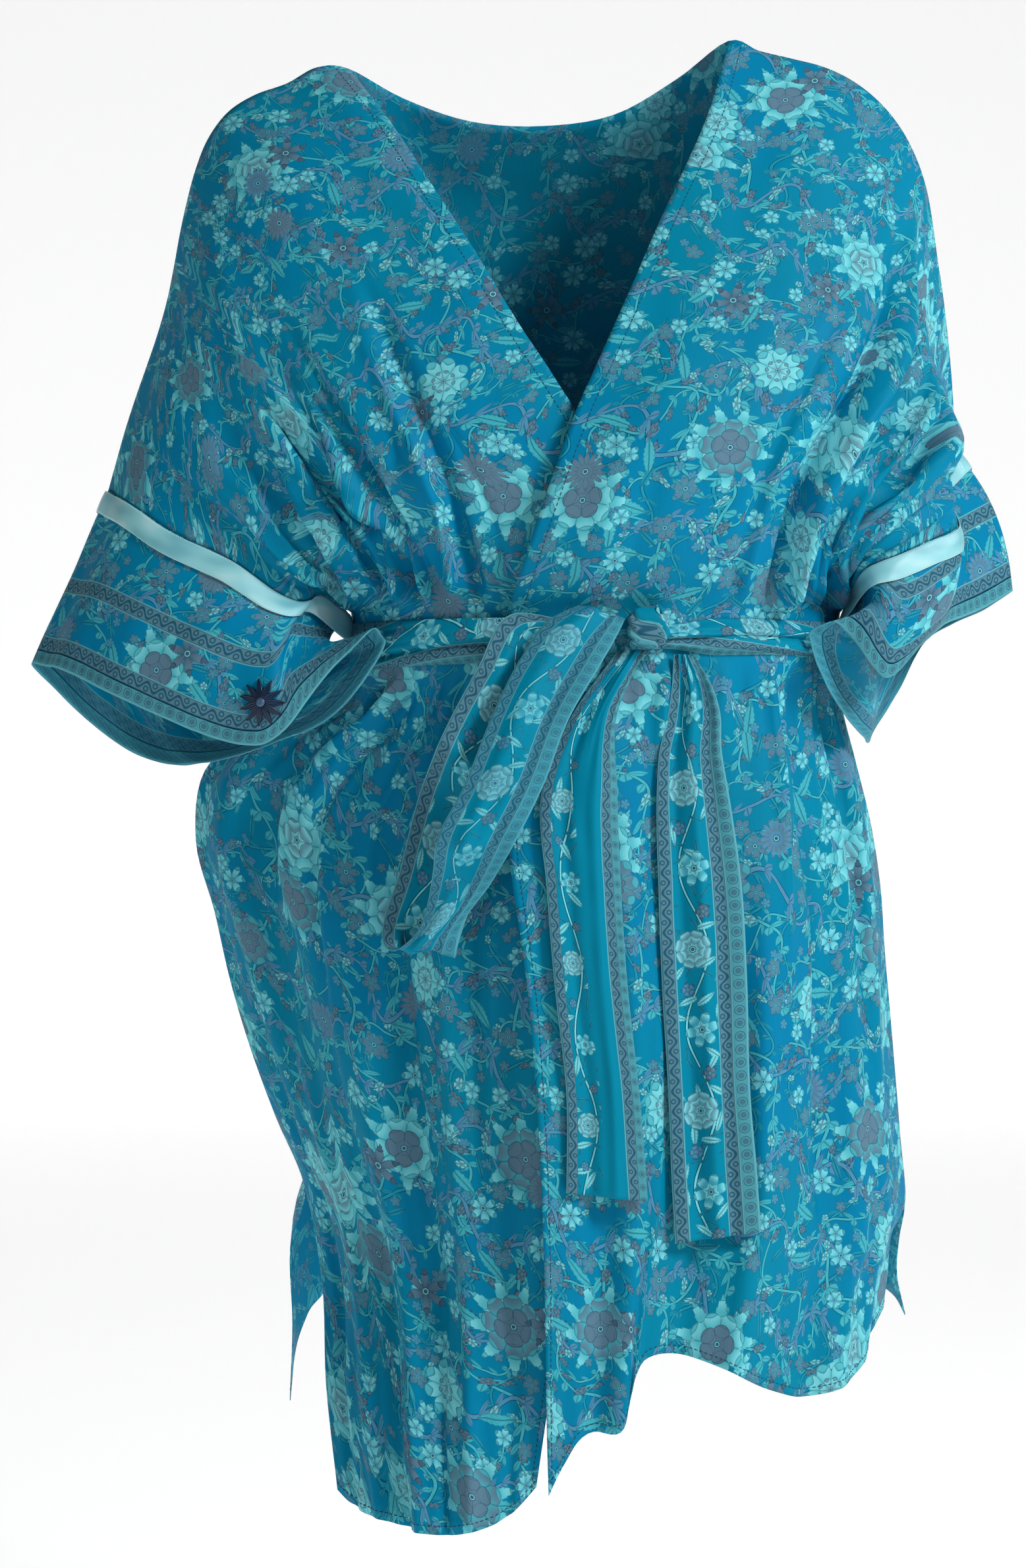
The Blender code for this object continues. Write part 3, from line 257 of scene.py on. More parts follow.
# Stretches of the sash that hang free, in sections across them: x and z of the left end,
# x and z of the right end, and how far the section lies off the cloth
TAIL_INNER = [
    (0.038, -0.392, 0.056, -0.3925, 0.0095), (0.01, -0.431, 0.038, -0.431, 0.007),
    (-0.009, -0.478, 0.037, -0.477, 0.007), (-0.006, -0.535, 0.039, -0.534, 0.006),
    (-0.001, -0.596, 0.043, -0.596, 0.005), (0.006, -0.661, 0.05, -0.661, 0.005),
    (0.006, -0.72, 0.055, -0.725, 0.005),
]
TAIL_OUTER = [
    (0.072, -0.3945, 0.086, -0.3955, 0.0055), (0.07, -0.424, 0.099, -0.423, 0.007),
    (0.063, -0.454, 0.101, -0.453, 0.007), (0.061, -0.486, 0.106, -0.486, 0.006),
    (0.062, -0.54, 0.113, -0.54, 0.005), (0.064, -0.597, 0.116, -0.597, 0.005),
    (0.068, -0.662, 0.118, -0.662, 0.005), (0.07, -0.716, 0.122, -0.712, 0.005),
    (0.072, -0.752, 0.124, -0.745, 0.005),
]
LOOP = [
    (0.01, -0.374, 0.03, -0.388, 0.012), (-0.03, -0.372, 0.012, -0.4, 0.01),
    (-0.046, -0.401, 0.002, -0.425, 0.009), (-0.065, -0.437, -0.018, -0.458, 0.009),
    (-0.082, -0.477, -0.034, -0.498, 0.009), (-0.095, -0.527, -0.048, -0.538, 0.01),
    (-0.105, -0.567, -0.06, -0.574, 0.014), (-0.102, -0.575, -0.061, -0.58, 0.021),
    (-0.086, -0.566, -0.057, -0.56, 0.027), (-0.075, -0.533, -0.041, -0.536, 0.03),
    (-0.071, -0.507, -0.025, -0.509, 0.031), (-0.056, -0.477, -0.007, -0.473, 0.031),
    (-0.04, -0.437, 0.007, -0.436, 0.03), (-0.021, -0.398, 0.025, -0.405, 0.026),
    (-0.004, -0.375, 0.037, -0.384, 0.02), (0.014, -0.366, 0.042, -0.374, 0.013),
]

# Sash round the waist: where it starts and ends in degrees, its size, how much of its
# width shows, and how its pattern runs along it and drifts across it
SASH_WIDTH = 0.052
BAND_HEAD = 13.5
BAND_END = 350.0
BAND_ROWS = 281
BAND_COLUMNS = 33
BAND_THICK = 0.0035
BAND_CLEAR = 0.0006
BAND_DROP = 0.006
BAND_INSET = 0.0015
BAND_PINCH = 0.005
BAND_PINCH_REACH = 0.045
BAND_SHOWS = 0.65
BAND_LENGTH = 0.88
BAND_ALONG = 3.0
BAND_WAVES = 3.2
BAND_DRIFT = 1.2

# Its folds: the layers across it, how they wander (size, rate and shift, then size and
# rate), its fine pleats (count, size and rate), how high each stands (the ground, the
# layers and the pleats), how it sags (size and rate, then the layers' share), and the
# powers that round the whole, the layers and the pleats
BAND_LAYERS = 2.1
BAND_WOBBLE = (0.8, 8.0, 1.0)
BAND_QUIVER = (0.3, 21.0)
BAND_PLEATS = (4.3, 0.9, 11.0)
BAND_RISE = (0.10, 1.45, 0.35)
BAND_SAG = (0.05, 9.0, 0.06)
BAND_ROUND = (3.0, 0.55, 0.8)

# Hanging stretches of the sash: how they lie on the fronts, and the pleats at their heads
FAR_BACK = -0.105
STRIP_DIP = 0.002
STRIP_BOW = 0.002
SMOOTHINGS = 3
PLEAT_DEPTH = 0.0022
PLEAT_SLANT = 0.6
PLEAT_SHIFT = 0.2
PLEAT_SHARP = 0.7
PLEAT_FADE = (0.03, 0.34)
HEAD_FADE = 0.08

# Knot: its middle and half sizes, its rings and spans, the shares of a half turn where it
# starts and ends, its pleats, which slant as they go round, and the powers that round it
# and them
KNOT_AT = (0.056, -0.1198, -0.377)
KNOT_HALF = (0.0130, 0.0105, 0.0150)
KNOT_RINGS = 49
KNOT_SPANS = 72
KNOT_ENDS = (0.03, 0.97)
KNOT_SHORT = 0.86
KNOT_DROP = 0.002
KNOT_CORNER = 0.4
KNOT_SLANT = (0.8, 0.6)
KNOT_PLEATS = (1.7, 0.2)
KNOT_ROUND = (0.35, 0.5)
KNOT_WAIST = 0.80
KNOT_PLEAT = 0.22
KNOT_LEAN = 0.1
KNOT_LENGTH = 0.05
KNOT_ALONG = 5.0
KNOT_STRIPES = (0.70, 0.24)

# Sewn flower: its place round and down the cuff, its petals with their rims and ridges,
# which share a width, and its eye with a dimple
FLOWER_PLACE = (0.665, 0.72)
FLOWER_PETALS = 11
FLOWER_RADIUS = 0.0148
FLOWER_CLEAR = 0.0009
CAST_HEIGHT = 0.02
PETAL_SPANS = 10
PETAL_SIDES = 8
PETAL_START = 0.16
PETAL_BASE = 0.08
PETAL_TAPER = 0.8
PETAL_LEAST = 0.03
PETAL_HALF = 0.0021
PETAL_THICK = 0.0007
PETAL_RISE = 0.0004
PETAL_RIM = 0.0008
PETAL_RIM_AT = 0.78
PETAL_RIDGE = 0.0007
PETAL_CREST = 0.16
PETAL_BRINK = 0.97
PETAL_DROP = 0.55
EYE_RINGS = 7
EYE_SIDES = 24
EYE_RADIUS = 0.0030
EYE_RISE = 0.0013
EYE_ROUND = 0.6
EYE_BULGE = 0.25
EYE_DIMPLE = 0.3
EYE_CLEAR = 0.0009

# The hanging stretches: the sections' steps, a seed, the gathers at the head, and lengthwise
# folds by their place across, width, height and drift
STRETCHES = [
    ("tail_inner", TAIL_INNER, 16, 1, 3.0, [(0.30, 0.10, 0.0034, 0.0), (0.72, 0.08, -0.0024, -0.1)]),
    ("tail_outer", TAIL_OUTER, 18, 2, 4.0,
     [(0.22, 0.09, 0.0034, 0.1), (0.52, 0.08, -0.0026, 0.0), (0.80, 0.08, 0.0024, -0.1)]),
    ("loop", LOOP, 44, 7, 3.0, [(0.35, 0.12, 0.0024, 0.0), (0.70, 0.10, -0.0020, 0.0)]),
]

# Each sleeve's half of the jacket. The turn is 1 where the panel's columns run so that
# its normals point out, and out moves the under front in
RIGHT = dict(
    turn=1, out=-0.006, edge=UNDER_EDGE, side=SIDE_RIGHT, shoulder=SHOULDER_RIGHT, neck=NECK_RIGHT,
    cuff_front=CUFF_RIGHT_FRONT, cuff_back=CUFF_RIGHT_BACK, front_edge=FRONT_EDGE_RIGHT, hem=HEM_RIGHT,
    seam=SIDE_SEAM_RIGHT, slit=FRONT_SLIT_RIGHT, upper_folds=FOLDS_UPPER_RIGHT, lower_folds=FOLDS_LOWER_RIGHT,
)
LEFT = dict(
    turn=-1, out=0.0, edge=LAP_EDGE, side=SIDE_LEFT, shoulder=SHOULDER_LEFT, neck=NECK_LEFT,
    cuff_front=CUFF_LEFT_FRONT, cuff_back=CUFF_LEFT_BACK, front_edge=FRONT_EDGE_LEFT, hem=HEM_LEFT,
    seam=SIDE_SEAM_LEFT, slit=FRONT_SLIT_LEFT, upper_folds=FOLDS_UPPER_LEFT, lower_folds=FOLDS_LOWER_LEFT,
)

# Shells: their thickness, and how many rows and columns a cell of a solid's grid is cut into
SHELL = 0.0006
SASH_SHELL = 0.0007
RIBBON_SHELL = 0.0004
FRONT_FINE = (6, 6)
BACK_FINE = (5, 5)
CUFF_FINE = (9, 6)
STRIP_FINE = (6, 8)
FINE_PRESS = 0.06
PANEL_EDGE = 0.12
CUFF_EDGE = 0.35

# Soft waves: their height, and their size across the cloth and along it; then how much
# smaller and lower the finer ones are, their seed's step and a strip's width for them
PANEL_WAVE = (0.0022, (0.045, 0.16))
CUFF_WAVE = (0.0016, (0.035, 0.10))
STRIP_WAVE = (0.0012, (0.02, 0.06))
FINER_WAVE = 2.3
LOWER_WAVE = 0.45
FINER_SEED = 9.0
STRIP_WAVE_WIDTH = 0.05
CUFF_SEED = 31

# Ribbons: the slack is how far the lower edge hangs off at the underarm
RIBBON_WIDTH = 0.0148
RIBBON_EDGE = 0.0008
RIBBON_ROWS = 11
RIBBON_CROWN = 0.0004
RIBBON_BUCKLE = 0.0011
BUCKLE_RATES = (34.0, 0.9)
BUCKLE_SEED = 5.0
RIBBON_SLACK = (0.013, 0.001, -0.015)
RIBBON_SLACK_REACH = 9.0

# Hem stitches: their size, spacing and arch, how deep the hems are, and how many rows they
# pass over below the sash
STITCH_LENGTH = 0.0022
STITCH_STEP = 0.0034
STITCH_WIDTH = 0.00045
STITCH_RISE = 0.00022
STITCH_START = 0.002
STITCH_ARCH = (0.3, 1.6, 0.3)
NECK_HEM = 0.009
NARROW_HEM = 0.005
HEM_SKIP = 6

# How far folds made by a rule differ: their place, lean, depth, width, start and end
FOLD_PLACE = (0.25, 0.75)
FOLD_LEAN = (0.6, 1.4)
FOLD_DEPTH = (0.55, 1.45)
FOLD_WIDTH = (0.8, 1.3)
FOLD_START = (0, 0.25)
FOLD_END = (0, 0.3)

# The panels' shells: fineness, turn, columns at seams and seed, and then, above the sash
# and below it, the fine folds made by a rule and the few deep ones that the photo shows.
# A rule is a seed, a count, the first and last column, the width, the depth, the rows that
# the folds span and how far their heads lean
PANELS = [
    (
        "front_left", FRONT_FINE, -1, [1.0], 4,
        [
            (11, 8, 0.5, 0.98, 0.018, 0.012, 0.1, 1, 0.22),
            (12, 16, 0.4, 0.97, 0.01, 0.0028, 0.36, 1, 0.16),
            (13, 7, 0.05, 0.45, 0.018, 0.001, 0.66, 1, 0),
        ],
        [(0.72, 0.8, 0.016, -0.009, 0.25, 1), (0.6, 0.74, 0.016, -0.008, 0.4, 1)],
        [(15, 14, 0.05, 0.96, 0.013, 0.005, 0, 0.46, 0), (17, 7, 0.08, 0.92, 0.026, 0.0052, 0.16, 1.1, 0)],
        [(0.76, 0.8, 0.016, -0.008, 0, 0.6), (0.62, 0.64, 0.014, -0.007, 0, 0.8)],
    ),
    (
        "front_right", FRONT_FINE, 1, [1.0], 6,
        [
            (3, 9, 0.34, 0.98, 0.016, 0.0105, 0.26, 1, 0.36),
            (4, 17, 0.26, 0.97, 0.01, 0.0026, 0.48, 1, 0.16),
            (5, 6, 0.02, 0.3, 0.02, 0.0008, 0.7, 1, 0),
        ],
        [
            (0.66, 0.54, 0.02, -0.013, 0.4, 1), (0.6, 0.505, 0.018, 0.008, 0.4, 1),
            (0.52, 0.47, 0.012, -0.009, 0.45, 1),
        ],
        [(7, 13, 0.08, 0.96, 0.013, 0.0056, 0, 0.5, 0), (9, 7, 0.1, 0.92, 0.026, 0.005, 0.2, 1.1, 0)],
        [
            (0.66, 0.86, 0.018, -0.009, 0, 0.42), (0.6, 0.78, 0.016, 0.006, 0, 0.42),
            (0.54, 0.64, 0.016, -0.009, 0, 0.55), (0.4, 0.44, 0.014, -0.007, 0, 0.7),
            (0.22, 0.24, 0.014, -0.006, 0.1, 0.8),
        ],
    ),
    (
        "back", BACK_FINE, 1, [0.0, 1.0], 8,
        [(19, 22, 0.06, 0.94, 0.01, 0.002, 0.5, 1, 0)],
        [],
        [(21, 22, 0.05, 0.95, 0.01, 0.0022, 0, 0.6, 0), (23, 9, 0.08, 0.92, 0.02, 0.0018, 0.3, 1.1, 0)],
        [],
    ),
]


def unit(vectors):
    """The same directions with length 1."""
    length = np.linalg.norm(vectors, axis=-1, keepdims=True)
    return vectors / np.maximum(length, 1e-9)


def lengths(grid, axis):
    """How far along one of its axes each point of a grid lies, in metres."""
    steps = np.linalg.norm(np.diff(grid, axis=axis), axis=-1).cumsum(axis=axis)
    return np.concatenate([np.zeros_like(steps.take([0], axis)), steps], axis=axis)


def spline(points, places, by_length=True):
    """A smooth curve through points, read at places from 0 to 1 along it."""
    p = np.array(points, float)
    steps = np.linalg.norm(np.diff(p, axis=0), axis=1)
    if not by_length:
        steps = np.ones(len(p) - 1)
    knots = np.concatenate([[0.0], np.cumsum(steps)])
    chords = np.diff(p, axis=0) / steps[:, None]
    slopes = np.vstack([chords[:1], chords])
    inner = steps[1:, None] * chords[:-1] + steps[:-1, None] * chords[1:]
    slopes[1:-1] = inner / (steps[1:] + steps[:-1])[:, None]
    at = np.asarray(places, float) * knots[-1]
    cell = np.clip(np.searchsorted(knots, at, side="right") - 1, 0, len(steps) - 1)
    h = steps[cell][:, None]
    k = ((at - knots[cell]) / steps[cell])[:, None]
    start = (2 * k**3 - 3 * k**2 + 1) * p[cell] + (k**3 - 2 * k**2 + k) * h * slopes[cell]
    end = (3 * k**2 - 2 * k**3) * p[cell + 1] + (k**3 - k**2) * h * slopes[cell + 1]
    return start + end


def ease(value, low, high):
    """0 up to low, 1 from high on, and smooth between. Low may be the larger: it then falls."""
    k = np.clip((value - low) / (high - low), 0.0, 1.0)
    return k * k * (3 - 2 * k)


def patch(top, foot, first, last):
    """A grid of points between four edges, which meet at their corners."""
    s = np.linspace(0, 1, len(top))[None, :, None]
    t = np.linspace(0, 1, len(first))[:, None, None]
    between = (1 - t) * top[None] + t * foot[None] + (1 - s) * first[:, None] + s * last[:, None]
    corners = (1 - s) * (1 - t) * top[0] + s * (1 - t) * top[-1]
    corners = corners + (1 - s) * t * foot[0] + s * t * foot[-1]
    return between - corners


def normals(grid):
    """Unit normals of a grid, on the side where its rows go down and columns go right."""
    return unit(np.cross(np.gradient(grid, axis=1), np.gradient(grid, axis=0)))


def ring_normals(ring):
    """Normals of a ring, whose last column is a copy of its first."""
    own = ring[:, :-1]
    across = np.roll(own, -1, axis=1) - np.roll(own, 1, axis=1)
    found = unit(np.cross(across, np.gradient(own, axis=0)))
    return np.concatenate([found, found[:, :1]], axis=1)


def crease(grid, folds, out, seam_columns, sash_row, cuts=1, press=SASH_PRESS):
    """Moves a patch out along its ridges and in along its troughs, flat at the sash."""
    s = np.linspace(0, 1, grid.shape[1])[None, :]
    t = np.linspace(0, 1, grid.shape[0])[:, None]
    depth = np.zeros(grid.shape[:2])
    for head, foot, width, height, start, end in folds:
        window = 1.0
        if start > 0:
            window = ease(t, start - FOLD_EARLY, start + FOLD_LATE)
        if end < 1:
            window = window * (1 - ease(t, end - FOLD_FADE, end))
        depth = depth + height * window * np.exp(-(((s - head - (foot - head) * t) / width) ** 2))
    for side in seam_columns:
        depth = depth * ease(abs(s - side), 0.0, SEAM_PRESS)
    room = cuts * np.linalg.norm(np.gradient(grid, axis=1), axis=2) / FOLD_ROOM
    depth = depth * ease(abs(t - sash_row), 0.0, press) * np.minimum(room, 1.0)
    return depth[..., None] * out * normals(grid)


def cuff_line(stations, line, places):
    """One line of a cuff, along half of the sleeve."""
    return spline([station[line] for station in stations], places, by_length=False)


def seam_frame(stations, places):
    """A sleeve seam's points and the way down the arm at each."""
    line = cuff_line(stations, SEAM_LINE, places)
    down = cuff_line(stations, MIDDLE_LINE, places) - line
    along = unit(np.gradient(line, axis=0))
    return line, unit(down - np.sum(down * along, axis=1, keepdims=True) * along)


def waist_row(start, end, shares, levels, out=0.0):
    """The points of a panel on the waist oval, moved in where it lies under its lap."""
    row = []
    for k in shares:
        turn = start + (end - start) * k
        row.append(waist(turn, sash_level(turn, levels), out * (1 - ease(k, *LAP_FADE))))
    return np.array(row)


def side_edge(start, seam, slit):
    """A panel's side below the sash: the seam, then the edge of the slit."""
    upper = spline([start, *seam], np.linspace(0, 1, SEAM_ROWS + 1))
    lower = spline([seam[-1], *slit], np.linspace(0, 1, SLIT_ROWS + 1))
    return np.concatenate([upper, lower[1:]])


def join_rows(upper, lower):
    """One grid from a panel's two patches and the rows under the sash between them."""
    drop = lower[0] - upper[-1]
    between = [upper[-1] + drop * k / SASH_ROWS for k in range(1, SASH_ROWS)]
    return np.concatenate([upper, np.array(between), lower])


def front_panel(spec):
    """The outer face of a front: shoulder to sash, sash rows, then skirt."""
    s = np.linspace(0, 1, FRONT_COLUMNS + 1)
    t = np.linspace(0, 1, UPPER_ROWS + 1)
    gathered = 1 - (1 - s) ** GATHER
    line, down = seam_frame(spec["cuff_front"], t)
    outer = line - down * SEAM_GAP / 2
    top_row = waist_row(spec["edge"], spec["side"], gathered, SASH_TOPS, spec["out"])
    foot_row = waist_row(spec["edge"], spec["side"], gathered, SASH_FEET, spec["out"])
    outer[-1] = top_row[-1]
    neck = spline([*spec["neck"], top_row[0]], t)
    top = spline(spec["shoulder"], s)
    top[-1] = outer[0]
    upper = patch(top, top_row, neck, outer)
    upper = upper + crease(upper, spec["upper_folds"], spec["turn"], [1.0], 1.0)
    side = side_edge(foot_row[-1], spec["seam"], spec["slit"])
    edge = spline([foot_row[0], *spec["front_edge"]], np.linspace(0, 1, len(side)))
    lower = patch(foot_row, spline(spec["hem"], s), edge, side)
    lower = lower + crease(lower, spec["lower_folds"], spec["turn"], [1.0], 0.0)
    grid = join_rows(upper, lower)
    grid[0, :, 1] -= SEAM_GAP / 2
    grid[:, -1, 1] -= SEAM_GAP / 2
    return grid


def back_panel():
    """The outer face of the back, which runs from one sleeve seam to the other."""
    along = np.linspace(0, 1, FRONT_COLUMNS + 1)
    t = np.linspace(0, 1, UPPER_ROWS + 1)
    right = spline(RIGHT["shoulder"], along)[::-1]
    neck = spline(BACK_NECK, np.linspace(0, 1, NECK_COLUMNS + 1))
    top = np.concatenate([right, neck[1:-1], spline(LEFT["shoulder"], along)])
    s = np.linspace(0, 1, len(top))
    round_back = BACK_EVEN * s + (1 - BACK_EVEN) * (1 - np.cos(np.pi * s)) / 2
    top_row = waist_row(360 + SIDE_RIGHT, SIDE_LEFT, round_back, SASH_TOPS)
    foot_row = waist_row(360 + SIDE_RIGHT, SIDE_LEFT, round_back, SASH_FEET)
    seams = []
    for spec, corner in ((RIGHT, top_row[0]), (LEFT, top_row[-1])):
        front, back = spec["cuff_front"], spec["cuff_back"]
        line, down = seam_frame([front[0], *back[::-1], front[-1]], t)
        line = line - down * SEAM_GAP / 2
        line[-1] = corner
        seams.append(line)
    top[0] = seams[0][0]
    top[-1] = seams[1][0]
    upper = patch(top, top_row, *seams)
    upper = upper + crease(upper, FOLDS_UPPER_BACK, 1, [0.0, 1.0], 1.0)
    right = side_edge(foot_row[0], SIDE_SEAM_RIGHT, BACK_SLIT_RIGHT)
    left = side_edge(foot_row[-1], SIDE_SEAM_LEFT, BACK_SLIT_LEFT)
    lower = patch(foot_row, spline(HEM_BACK, s), right, left)
    lower = lower + crease(lower, FOLDS_LOWER_BACK, 1, [0.0, 1.0], 0.0)
    grid = join_rows(upper, lower)
    grid[0, :, 1] += SEAM_GAP / 2
    grid[:, 0, 1] += SEAM_GAP / 2
    grid[:, -1, 1] += SEAM_GAP / 2
    return grid


def cuff(spec):
    """The outer face of a cuff, rings from the sleeve seam to the hem."""
    front, back = spec["cuff_front"], spec["cuff_back"]
    t = np.linspace(0, 1, UPPER_ROWS + 1)
    sides = (front, [front[-1], *back, front[0]])
    rings = []
    for line in (SEAM_LINE, MIDDLE_LINE, HEM_LINE):
        rings.append(np.concatenate([cuff_line(side, line, t)[:-1] for side in sides]))
    v = np.array(CUFF_LEVELS)[:, None, None]
    share = ((1 - v) * (1 - 2 * v), 4 * v * (1 - v), v * (2 * v - 1))
    grid = sum(k * ring[None] for k, ring in zip(share, rings))
    downs = np.concatenate([seam_frame(side, t)[1][:-1] for side in sides])
    near = np.concatenate([ease(t[:-1], UNDERARM_FROM, 1.0), ease(t[:-1], 1 - UNDERARM_FROM, 0.0)])[:, None]
    grid[0] = grid[0] + downs * (SEAM_GAP / 2 + UNDERARM_ROOM * near)
    return grid


def surface(grid, ring=False):
    """A tree for casting onto a grid."""
    rows, columns = grid.shape[:2]
    points = [tuple(p) for p in grid.reshape(-1, 3)]
    faces = []
    for i in range(rows - 1):
        for j in range(columns if ring else columns - 1):
            a, b = i * columns + j, i * columns + (j + 1) % columns
            faces += [(a, b, b + columns), (a, b + columns, a + columns)]
    return BVHTree.FromPolygons(points, faces)


def cast(tree, x, z):
    """Where a surface is first met at a place seen from the front, if it is."""
    return tree.ray_cast(Vector((x, -1.0, z)), Vector((0, 1, 0)))[0]


def under_lap(under, over):
    """Keeps the under front behind the over front, and eases back past its edge."""
    spread = over[:, :1] - over[:, 1:2]
    wide = np.concatenate([over[:, :1] + spread * k for k in (LAP_REACH, 1)] + [over], axis=1)
    tree = surface(wide)
    edge = surface(over)
    for i in range(1, under.shape[0]):
        for j in range(under.shape[1]):
            x, y, z = under[i, j]
            hit = cast(tree, x, z)
            if not hit:
                continue
            beyond = 0.0
            if not cast(edge, x, z):
                beyond = edge.find_nearest(Vector((x, hit.y, z)))[3]
            under[i, j, 1] = max(y, hit.y + LAP_GAP - LAP_SLOPE * beyond)
    return under


def strip(sections, steps, trees):
    """A hanging stretch of sash, which lies clear of the fronts that it hangs before."""
    t = np.linspace(0, 1, steps + 1)
    left = spline([(x, lift, z) for x, z, _, _, lift in sections], t)
    right = spline([(x, lift, z) for _, _, x, z, lift in sections], t)
    k = np.linspace(0, 1, STRIP_COLUMNS + 1)[None, :]
    grid = left[:, None] + (right - left)[:, None] * k[..., None]
    grid[..., 1] += STRIP_BOW * 4 * k * (1 - k)
    base = np.full(grid.shape[:2], FAR_BACK)
    for i, j in np.ndindex(base.shape):
        hits = [cast(tree, grid[i, j, 0], grid[i, j, 2]) for tree in trees]
        base[i, j] = min([hit.y for hit in hits if hit] + [FAR_BACK])
    for _ in range(SMOOTHINGS):
        base[1:-1] = np.minimum(base[1:-1], (base[:-2] + base[1:-1] + base[2:]) / 3)
        base = np.minimum(base, base.min(axis=1, keepdims=True) + STRIP_DIP)
    grid[..., 1] = base - grid[..., 1]
    return grid


def folds_of(spreads):
    """Folds by the rule of each spread: ridges and troughs in turn, none quite alike."""
    folds = []
    for seed, count, low, high, wide, deep, first, last, lean in spreads:
        chance = random.Random(seed)
        step = (high - low) / count
        for k in range(count):
            foot = low + step * (k + chance.uniform(*FOLD_PLACE))
            head = foot - lean * chance.uniform(*FOLD_LEAN) * (high - foot)
            depth = deep * chance.uniform(*FOLD_DEPTH) * (1 if k % 2 else -1)
            width = wide * chance.uniform(*FOLD_WIDTH)
            start = first + chance.uniform(*FOLD_START) * (first > 0)
            end = last - chance.uniform(*FOLD_END) * (last < 1)
            folds.append((head, foot, width, depth, start, end))
    return folds


def refine(grid, down, across, ring=False):
    """The grid with each cell cut into rows and columns along smooth curves.

    A ring's last column comes back as a copy of its first.
    """
    columns = grid.shape[1]
    if ring:
        grid = np.concatenate([grid[:, -3:], grid, grid[:, :4]], axis=1)
    fine = smooth_rows(grid, down)
    fine = smooth_rows(fine.transpose(1, 0, 2), across).transpose(1, 0, 2)
    if ring:
        fine = fine[:, 3 * across : (3 + columns) * across + 1]
    return fine


def smooth_rows(grid, count):
    """More rows between the rows of a grid."""
    places = np.linspace(0, 1, (len(grid) - 1) * count + 1)
    flat = spline(grid.reshape(len(grid), -1), places, by_length=False)
    return flat.reshape(len(places), *grid.shape[1:])


def cloth_uv(grid, column, row):
    """Cloth metres at each point: along its row from a column, and up from a row."""
    u = lengths(grid, 1)
    v = lengths(grid, 0)
    way = np.sign(grid[row, -1, 0] - grid[row, 0, 0])
    u = way * (u - u[:, column : column + 1]) + grid[:, column : column + 1, 0]
    v = v[row : row + 1] - v + grid[row : row + 1, :, 2]
    return np.stack([u, v], axis=2)


def ripple(grid, uv, wave, seed):
    """Soft uneven waves, shorter across the cloth than along it."""
    size, longer = wave
    found = np.zeros(grid.shape[:2])
    for i, j in np.ndindex(found.shape):
        u, v = uv[i, j] / longer
        coarse = noise.noise(Vector((u, v, seed)))
        fine = noise.noise(Vector((u * FINER_WAVE, v * FINER_WAVE, seed + FINER_SEED)))
        found[i, j] = size * (coarse + LOWER_WAVE * fine)
    return found[..., None] * normals(grid)


def edge_hold(shape, left, right, reach):
    """1 inside a grid, and 0 at its top and at those of its sides that have to keep their place."""
    s = np.linspace(0, 1, shape[1])[None, :]
    t = np.linspace(0, 1, shape[0])[:, None]
    hold = np.ones(shape[:2])
    for keep, distance in ((left, s), (right, 1 - s), (True, t)):
        if keep:
            hold = hold * ease(distance, 0.0, reach)
    return hold[..., None]


def dress(coarse, fineness, out, seam_columns, seed, upper, deep_upper, lower, deep_lower):
    """A panel's shell: its solid's face made finer, with fine folds and soft waves."""
    down, across = fineness
    grid = refine(coarse, down, across)
    head = UPPER_ROWS * down
    foot = (UPPER_ROWS + SASH_ROWS) * down
    moves = np.zeros_like(grid)
    for rows, fine, deep, sash_row in (
        (slice(0, head + 1), upper, deep_upper, 1.0),
        (slice(foot, None), lower, deep_lower, 0.0),
    ):
        folds = folds_of(fine) + deep
        moves[rows] = crease(grid[rows], folds, out, seam_columns, sash_row, across, FINE_PRESS)
    grid = grid + moves
    uv = cloth_uv(grid, grid.shape[1] // 2, head)
    rows = np.arange(len(grid))
    near_sash = np.minimum(abs(rows - head), abs(rows - foot)) / (2.0 * down)
    near_sash[head : foot + 1] = 0.0
    hold = edge_hold(grid.shape, 0.0 in seam_columns, 1.0 in seam_columns, PANEL_EDGE)
    hold = hold * ease(near_sash, 0.0, 1.0)[:, None, None]
    return grid + hold * out * ripple(grid, uv, PANEL_WAVE, seed), uv


def mesh_object(name, points, faces):
    """An object from points and faces."""
    mesh = bpy.data.meshes.new(name)
    mesh.from_pydata([tuple(p) for p in points], [], faces)
    obj = bpy.data.objects.new(name, mesh)
    bpy.context.scene.collection.objects.link(obj)
    return obj


def closed_sheet(grid, inner, ring=False):
    """A thin wall between two grids: its points, and its faces by row, column and side."""
    rows, columns = grid.shape[:2]
    span = columns - 1
    own = span if ring else columns
    points = np.concatenate([face[:, :own].reshape(-1, 3) for face in (grid, inner)])
    corners = []
    for i, j in np.ndindex(rows - 1, span):
        cell = [(i, j), (i, j + 1), (i + 1, j + 1), (i + 1, j)]
        corners.append([(*c, 0) for c in cell])
        corners.append([(*c, 1) for c in reversed(cell)])
    for i, turn in ((0, 1), (rows - 1, -1)):
        for j in range(span):
            corners.append([(i, j + 1, 0), (i, j, 0), (i, j, 1), (i, j + 1, 1)][::turn])
    for j, turn in () if ring else ((0, 1), (span, -1)):
        for i in range(rows - 1):
            corners.append([(i, j, 0), (i + 1, j, 0), (i + 1, j, 1), (i, j, 1)][::turn])
    corners = np.array(corners)
    faces = (corners[..., 2] * rows + corners[..., 0]) * own + corners[..., 1] % own
    p = points[faces]
    if np.sum(p[:, 0] * (np.cross(p[:, 1], p[:, 2]) + np.cross(p[:, 2], p[:, 3]))) < 0:
        corners = corners[:, ::-1]
        faces = faces[:, ::-1]
    return points, faces, corners


